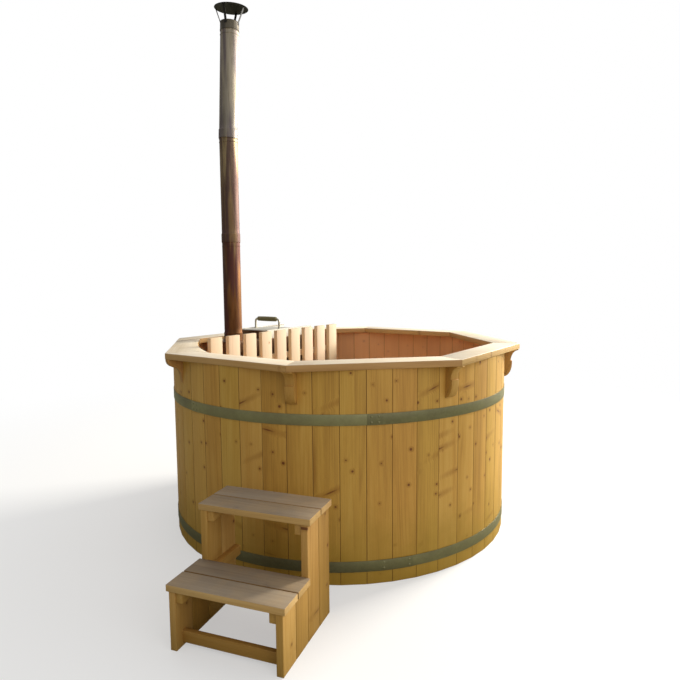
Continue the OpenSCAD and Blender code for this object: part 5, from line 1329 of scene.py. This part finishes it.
class HOTTUB_OT_bench(Operator):
    """Builds the bench: boards, bearers, legs and wall blocks"""
    bl_idname = "hottub.bench"
    bl_label = "Bench"

    def execute(self, context):
        """Two rows of boards whose ends lie on lines at 22.5 degrees to their middles. The
        outline point at x runs to +-((r + x) tan 22.5 - gap)."""
        bench = context.scene.hottub_bench
        wall = context.scene.hottub_wall
        inner = wall.radius - wall.thickness
        planed = softwood("planed_pine_bench", bench.wood, linear("#93683A"), linear("#DDBB8A"),
                          rough=0.58, spread=0.8)
        # from the wall, between the rows and at the boards' ends, then the boards' thickness
        play, gap, cut, thick = 0.007, 0.010, 0.002, 0.030
        out = (inner - play) * math.cos(SIDE_A / 2)
        outline = rounded(bench.board, thick, 0.004, 3)
        parts = []
        for k in range(5):
            axis, way = bearing(SIDE_A * k - FIRST_SIDE)
            for i in (0, 1):
                mid = out - i * (bench.board + gap) - bench.board / 2
                run = ((mid + outline[:, 0]) * SLOPE - cut / math.cos(SIDE_A / 2))[None]
                parts.append(boards(axis * mid + (bench.top - thick / 2) * UP, way, axis, -run,
                                    run, outline, 0.002, 70 + 2 * k + i))
        piece("bench_boards_planed", joined(parts), planed, ["bench_boards"])
        axis, way = bearing(SIDE_A * (np.array([7, 0, 1, 2, 3, 4]) + 0.5) - FIRST_SIDE)
        near = (out - 2 * bench.board - gap) / math.cos(SIDE_A / 2)
        # a bearer's width and height, and how far a wall block stands out
        wide, high, block = 0.045, 0.070, 0.040
        low = bench.top - thick - high
        parts = [boards((low + high / 2) * UP, a, w, near, inner - 0.0005,
                        rounded(wide, high, 0.002), 0.001, 81 + i)
                 for i, (a, w) in enumerate(zip(axis, way))]
        piece("bench_bearers_planed", joined(parts), planed, ["bench_bearers"])
        made = boards(axis * (near + high / 2), UP, way, wall.floor, low,
                      rounded(wide, high, 0.003), 0.0005, 90)
        piece("bench_legs_planed", made, planed, ["bench_legs"])
        made = boards(axis * (inner - block / 2 - 0.0005) + (low - high / 2) * UP, way, axis,
                      -0.0425, 0.0425, rounded(block, high, 0.002), 0.001, 91)
        piece("bench_blocks_planed", made, planed, ["bench_blocks"])
        return {"FINISHED"}


class HOTTUB_OT_steps(Operator):
    """Builds the free-standing steps: treads, side boards, cleats and stretcher"""
    bl_idname = "hottub.steps"
    bl_label = "Steps"

    def execute(self, context):
        """All are plain boards with rounded edges in the steps' own frame, which stands at
        (-0.955, -1.384) and is turned by -30.5 degrees."""
        steps = context.scene.hottub_steps
        over, back = bearing(math.radians(-30.5))
        corner = np.array([-0.955, -1.384, 0])
        # the sides' feet are darkened by painted shade as well as by moisture
        planed = softwood("planed_pine_step_sides", steps.wood, linear("#8F6226"),
                          linear("#D8B06A"), damp_and_shade=0.4)
        worn = softwood("weathered_pine_treads", steps.tread, linear("#96703F"),
                        linear("#DDBB80"), rough=0.72, knots=0.35, weather_and_top_light=0.9, spread=0.6)
        # a tread's thickness, the slit between its boards, the gap between side boards and
        # how far these stand back from the treads' front
        thick, slit, gap, inset = 0.029, 0.006, 0.003, 0.004
        board = (steps.depth - slit) / 2
        for name, first, top, seed in (("lower", 0, steps.lower, 101),
                                       ("upper", 1, steps.upper, 103)):
            y = first * steps.depth + (board + slit) * np.arange(2) + board / 2
            origin = corner + y[:, None] * back + (top - thick / 2) * UP
            # where the two boards meet at the slit, the dark band is painted shade
            made = boards(origin, over, back, 0, steps.width, rounded(board, thick, 0.003), 0.002,
                          seed, (np.array([1, 0]), np.array([0, 1])))
            piece(f"{name}_tread_planed", made, worn, [f"{name}_tread"])
        wide = (steps.depth - inset) / 2 - gap
        pitch = wide + gap
        sides = []
        # the middles of the two sides and of the cleats inside them, along the treads
        side_at, cleat_at = (0.026, 0.504), (0.056, 0.474)
        for i, x in enumerate(side_at):
            for j, top in enumerate((steps.lower, steps.lower, steps.upper, steps.upper)):
                foot = corner + x * over + (inset + j * pitch + wide / 2) * back
                # the dark band at each gap between side boards is painted shade
                sides.append(boards(foot, UP, back, 0, top - thick, rounded(wide, 0.030, 0.002),
                                    0.001, 110 + 4 * i + j, (j < 3, 0)))
        piece("step_side_boards_planed", joined(sides), planed,
              ["step_side_boards"])
        cleats = []
        # where a cleat starts behind the front, its width and height, and how far it ends
        # before the back of the side
        start, wide, high, short = 0.010, 0.030, 0.045, 0.006
        far = inset + 4 * pitch - gap - short
        for i, x in enumerate(cleat_at):
            for near, top in ((start, steps.lower), (start + 2 * pitch, steps.upper)):
                origin = corner + x * over + (top - thick - high / 2) * UP
                cleats.append(boards(origin, back, over, near, far, rounded(wide, high, 0.002),
                                     0.001, 120 + i))
        piece("step_cleats_planed", joined(cleats), planed, ["step_cleats"])
        # the stretcher's place behind the front and over the ground, and its two ends
        behind, height, left, right = 0.056, 0.042, 0.041, 0.489
        made = boards(corner + behind * back + height * UP, over, back, left, right,
                      rounded(0.024, 0.050, 0.002), 0.0005, 130)
        piece("step_stretcher_planed", made, planed, ["step_stretcher"])
        return {"FINISHED"}


class HOTTUB_OT_screws(Operator):
    """Builds the countersunk screws where the frame has them"""
    bl_idname = "hottub.screws"
    bl_label = "Screws"

    def execute(self, context):
        """A screw is found as a separate shell of its CAD node, with its head's place, its
        axis and its length. Its outline, a countersunk head with a hollow, and a shank, is
        turned round that axis."""
        zinc = plain_metal("zinc_plated_screws", linear("#A3A29C"), 0.36, dirt=0.4)
        nodes = ("rim_screws", "corbel_screws", "guard_screws", "bracket_screws",
                 "bench_screws", "step_screws")
        turned_corner, _ = bearing(SIDE_A * 7.5 - FIRST_SIDE)
        # how much deeper one screw is driven, and what counts as the same length
        deeper, same = 0.0185, 0.00006
        for name in nodes:
            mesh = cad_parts[name].data
            points = np.empty(len(mesh.vertices) * 3, np.float32)
            mesh.vertices.foreach_get("co", points)
            heads, axes, lengths = shells(mesh, points.reshape(-1, 3).astype(float))
            if name == "corbel_screws":
                # the reversed corbel is thinner at its lower screw, which is driven deeper
                thin = (heads @ turned_corner > 1.0) & (heads[:, 2] < heads[:, 2].mean())
                heads[thin] -= deeper * axes[thin]
                lengths[thin] -= deeper
            made = []
            for size in np.unique(lengths.round(4)):
                pick = np.abs(lengths - size) < same
                outline = [[0.0007, -0.0022], [0.0022, -0.0002], [0.0046, 0.0],
                           [0.0050, -0.0003], [0.0025, -0.0035], [0.0025, 0.003 - size],
                           [0.0004, -size]]
                made.append(lathe(np.array(outline), heads[pick], axes[pick], 8))
            piece(name + "_turned", joined(made), zinc, [name], crease=50)
        return {"FINISHED"}


def shells(mesh, points):
    """Head places, outward axes and lengths of the screws in one mesh. Points that an edge
    joins share a label: the lowest one is passed along the edges until nothing changes. A
    shell's axis is its longest spread, and its head is the end where its widest points are."""
    _, same = np.unique(np.round(points, 6), axis=0, return_inverse=True)
    same = same.ravel()
    tris = np.empty(len(mesh.loops), np.int32)
    mesh.loops.foreach_get("vertex_index", tris)
    tri = same[tris.reshape(-1, 3)]
    label = np.arange(same.max() + 1)
    while True:
        new = label.copy()
        np.minimum.at(new, tri.ravel(), np.repeat(label[tri].min(1), 3))
        new = new[new]
        if (new == label).all():
            break
        label = new
    group = label[same]
    heads, axes, lengths = [], [], []
    for g in np.unique(group):
        shell = points[group == g]
        middle = shell.mean(0)
        axis = np.linalg.svd(shell - middle, full_matrices=False)[2][0]
        along = (shell - middle) @ axis
        off = np.linalg.norm(shell - middle - along[:, None] * axis, axis=1)
        if along[off > off.max() * 0.97].mean() < 0:
            axis, along = -axis, -along
        top = along.max()
        heads.append(shell[along > top - 1e-5].mean(0))
        axes.append(axis)
        lengths.append(top - along.min())
    return np.array(heads), np.array(axes), np.array(lengths)


# ---- Stage ----

class HOTTUB_OT_stage(Operator):
    """Lays the floor and places the lamps and the camera"""
    bl_idname = "hottub.stage"
    bl_label = "Stage"

    def place(self, scene, name, data, axes, at):
        """Puts a lamp or the camera at a place, its own x, y and z along the three axes."""
        obj = bpy.data.objects.new(name, data)
        obj.matrix_world = Matrix([(*row, p) for row, p in zip(np.stack(axes, 1), at)]
                                  + [(0, 0, 0, 1)])
        scene.collection.objects.link(obj)
        return obj

    def execute(self, context):
        """The floor is a disc that turns from a pale matt surface to plain white with the
        distance from the tub. The camera's axes come from its heading, pitch and roll."""
        scene = context.scene
        scene.view_settings.view_transform = "Standard"
        mat, tree, shader = material("pale_studio_floor")
        here = add(tree, "ShaderNodeTexCoord").outputs["Object"]
        far = add(tree, "ShaderNodeVectorMath", {0: here}, operation="LENGTH").outputs["Value"]
        fade = add(tree, "ShaderNodeMapRange", {0: far, 1: 1.6, 2: 5.5, 3: 0.45, 4: 1.0},
                   interpolation_type="SMOOTHSTEP").outputs[0]
        shader.inputs["Base Color"].default_value = linear("#EFEEEB")
        shader.inputs["Roughness"].default_value = 0.9
        shader.inputs["Specular IOR Level"].default_value = 0.1
        white = add(tree, "ShaderNodeEmission", {"Color": (1, 1, 1, 1), "Strength": 1.0})
        seen = add(tree, "ShaderNodeMixShader", {0: fade, 1: shader.outputs[0],
                                                 2: white.outputs[0]})
        # light that the floor throws back on the tub is that of a darker floor
        dark = add(tree, "ShaderNodeBsdfDiffuse", {"Color": linear("#9A9A84")})
        camera_ray = add(tree, "ShaderNodeLightPath").outputs["Is Camera Ray"]
        both = add(tree, "ShaderNodeMixShader", {0: camera_ray, 1: dark.outputs[0],
                                                 2: seen.outputs[0]})
        tree.links.new(both.outputs[0], tree.nodes["Material Output"].inputs["Surface"])
        # the floor disc's corners, its radius, and how far under the ground it lies
        corners, reach, below = 96, 40, 0.0004
        ring, _ = bearing(np.linspace(0, 2 * np.pi, corners, endpoint=False))
        mesh = bpy.data.meshes.new("studio_floor")
        mesh.from_pydata((ring * reach - below * UP).tolist(), [], [list(range(corners))])
        mesh.materials.append(mat)
        floor = bpy.data.objects.new("studio_floor", mesh)
        scene.collection.objects.link(floor)
        world = bpy.data.worlds.new("studio_light")
        scene.world = world
        world.use_nodes = True
        tree = world.node_tree
        tree.nodes.clear()
        # the studio is brighter to the right and above, and the camera sees plain white
        path = add(tree, "ShaderNodeLightPath").outputs
        way = add(tree, "ShaderNodeTexCoord").outputs["Generated"]
        side = add(tree, "ShaderNodeVectorMath", {0: way, 1: (0.86, 0.12, 0.5)},
                   operation="DOT_PRODUCT").outputs["Value"]
        soft = add(tree, "ShaderNodeMapRange", {0: side, 1: -1.0, 2: 1.0, 3: 0.17,
                                                4: 0.88}).outputs[0]
        seen = add(tree, "ShaderNodeMath", {0: path["Is Camera Ray"],
                                            1: path["Is Transmission Ray"]},
                   operation="MAXIMUM").outputs[0]
        level = add(tree, "ShaderNodeMath", {0: seen, 1: soft}, operation="MAXIMUM").outputs[0]
        sky = add(tree, "ShaderNodeBackground", {"Color": (1, 1, 1, 1), "Strength": level})
        add(tree, "ShaderNodeOutputWorld", {"Surface": sky.outputs[0]})
        # name, place, size in metres, watts and colour of each lamp, which faces the tub
        lamps = (("key", (7.2, 3.1, 4.2), 2.8, 1430, (1.0, 0.96, 0.88)),
                 ("fill", (3.0, -7.0, 3.0), 4.0, 60, (1.0, 1.0, 1.0)))
        middle = 0.7 * UP
        for name, at, size, power, tint in lamps:
            lamp = bpy.data.lights.new(name, "AREA")
            lamp.size, lamp.energy, lamp.color = size, power, tint
            back = unit(at - middle)
            right = unit(np.cross(UP, back))
            self.place(scene, name, lamp, (right, np.cross(back, right), back), at)
        # heading clockwise from +Y, pitch and roll, all fitted to the photograph's lines
        heading, pitch, roll = np.radians([9.964, -5.917, -0.453])
        ahead = np.array([math.sin(heading) * math.cos(pitch), math.cos(heading) * math.cos(pitch),
                          math.sin(pitch)])
        level = np.array([math.cos(heading), -math.sin(heading), 0])
        above = np.cross(level, ahead)
        right = level * math.cos(roll) + above * math.sin(roll)
        above = above * math.cos(roll) - level * math.sin(roll)
        # so are its lens and its place
        camera = bpy.data.cameras.new("photo_view")
        camera.sensor_width, camera.lens = 36.0, 31.345
        camera.clip_end = 200
        at = (-0.6483, -3.7369, 1.4957)
        scene.camera = self.place(scene, "photo_view", camera, (right, above, -ahead), at)
        return {"FINISHED"}


class HOTTUB_PT_panel(Panel):
    """Lists the tub's pieces, each with a button that builds it"""
    bl_idname = "HOTTUB_PT_panel"
    bl_label = "Hot Tub"
    bl_space_type = "VIEW_3D"
    bl_region_type = "UI"
    bl_category = "Hot Tub"

    def draw(self, context):
        """One column of buttons, then the sizes and colours of each group."""
        column = self.layout.column(align=True)
        for operator in OPERATORS:
            column.operator(operator.bl_idname)
        for key, group in GROUPS.items():
            box = self.layout.box()
            box.label(text=group.__doc__)
            for name in group.__annotations__:
                box.prop(getattr(context.scene, key), name)


GROUPS = {
    "hottub_wall": TubWall, "hottub_hoops": TubHoops, "hottub_rim": TubRim,
    "hottub_guard": TubGuard, "hottub_stove": TubStove, "hottub_flue": TubFlue,
    "hottub_bench": TubBench, "hottub_steps": TubSteps,
}
OPERATORS = (
    HOTTUB_OT_staves, HOTTUB_OT_floor, HOTTUB_OT_hoops, HOTTUB_OT_rim, HOTTUB_OT_corbels,
    HOTTUB_OT_guard, HOTTUB_OT_stove, HOTTUB_OT_lid, HOTTUB_OT_flue, HOTTUB_OT_cap,
    HOTTUB_OT_drain, HOTTUB_OT_bench, HOTTUB_OT_steps, HOTTUB_OT_screws, HOTTUB_OT_stage,
)
CLASSES = (*GROUPS.values(), *OPERATORS, HOTTUB_PT_panel)


def register():
    """Registers the classes and hangs each group of sizes on the scene."""
    for cls in CLASSES:
        bpy.utils.register_class(cls)
    for key, group in GROUPS.items():
        setattr(bpy.types.Scene, key, PointerProperty(type=group))


def unregister():
    """Takes the groups off the scene and unregisters the classes."""
    for key in GROUPS:
        delattr(bpy.types.Scene, key)
    for cls in reversed(CLASSES):
        bpy.utils.unregister_class(cls)


def main():
    """Registers the classes and builds every piece in order."""
    register()
    for operator in OPERATORS:
        group, name = operator.bl_idname.split(".")
        result = getattr(getattr(bpy.ops, group), name)()
        if result != {"FINISHED"}:
            raise RuntimeError(f"{operator.bl_idname} did not finish")


if __name__ == "__main__":
    main()
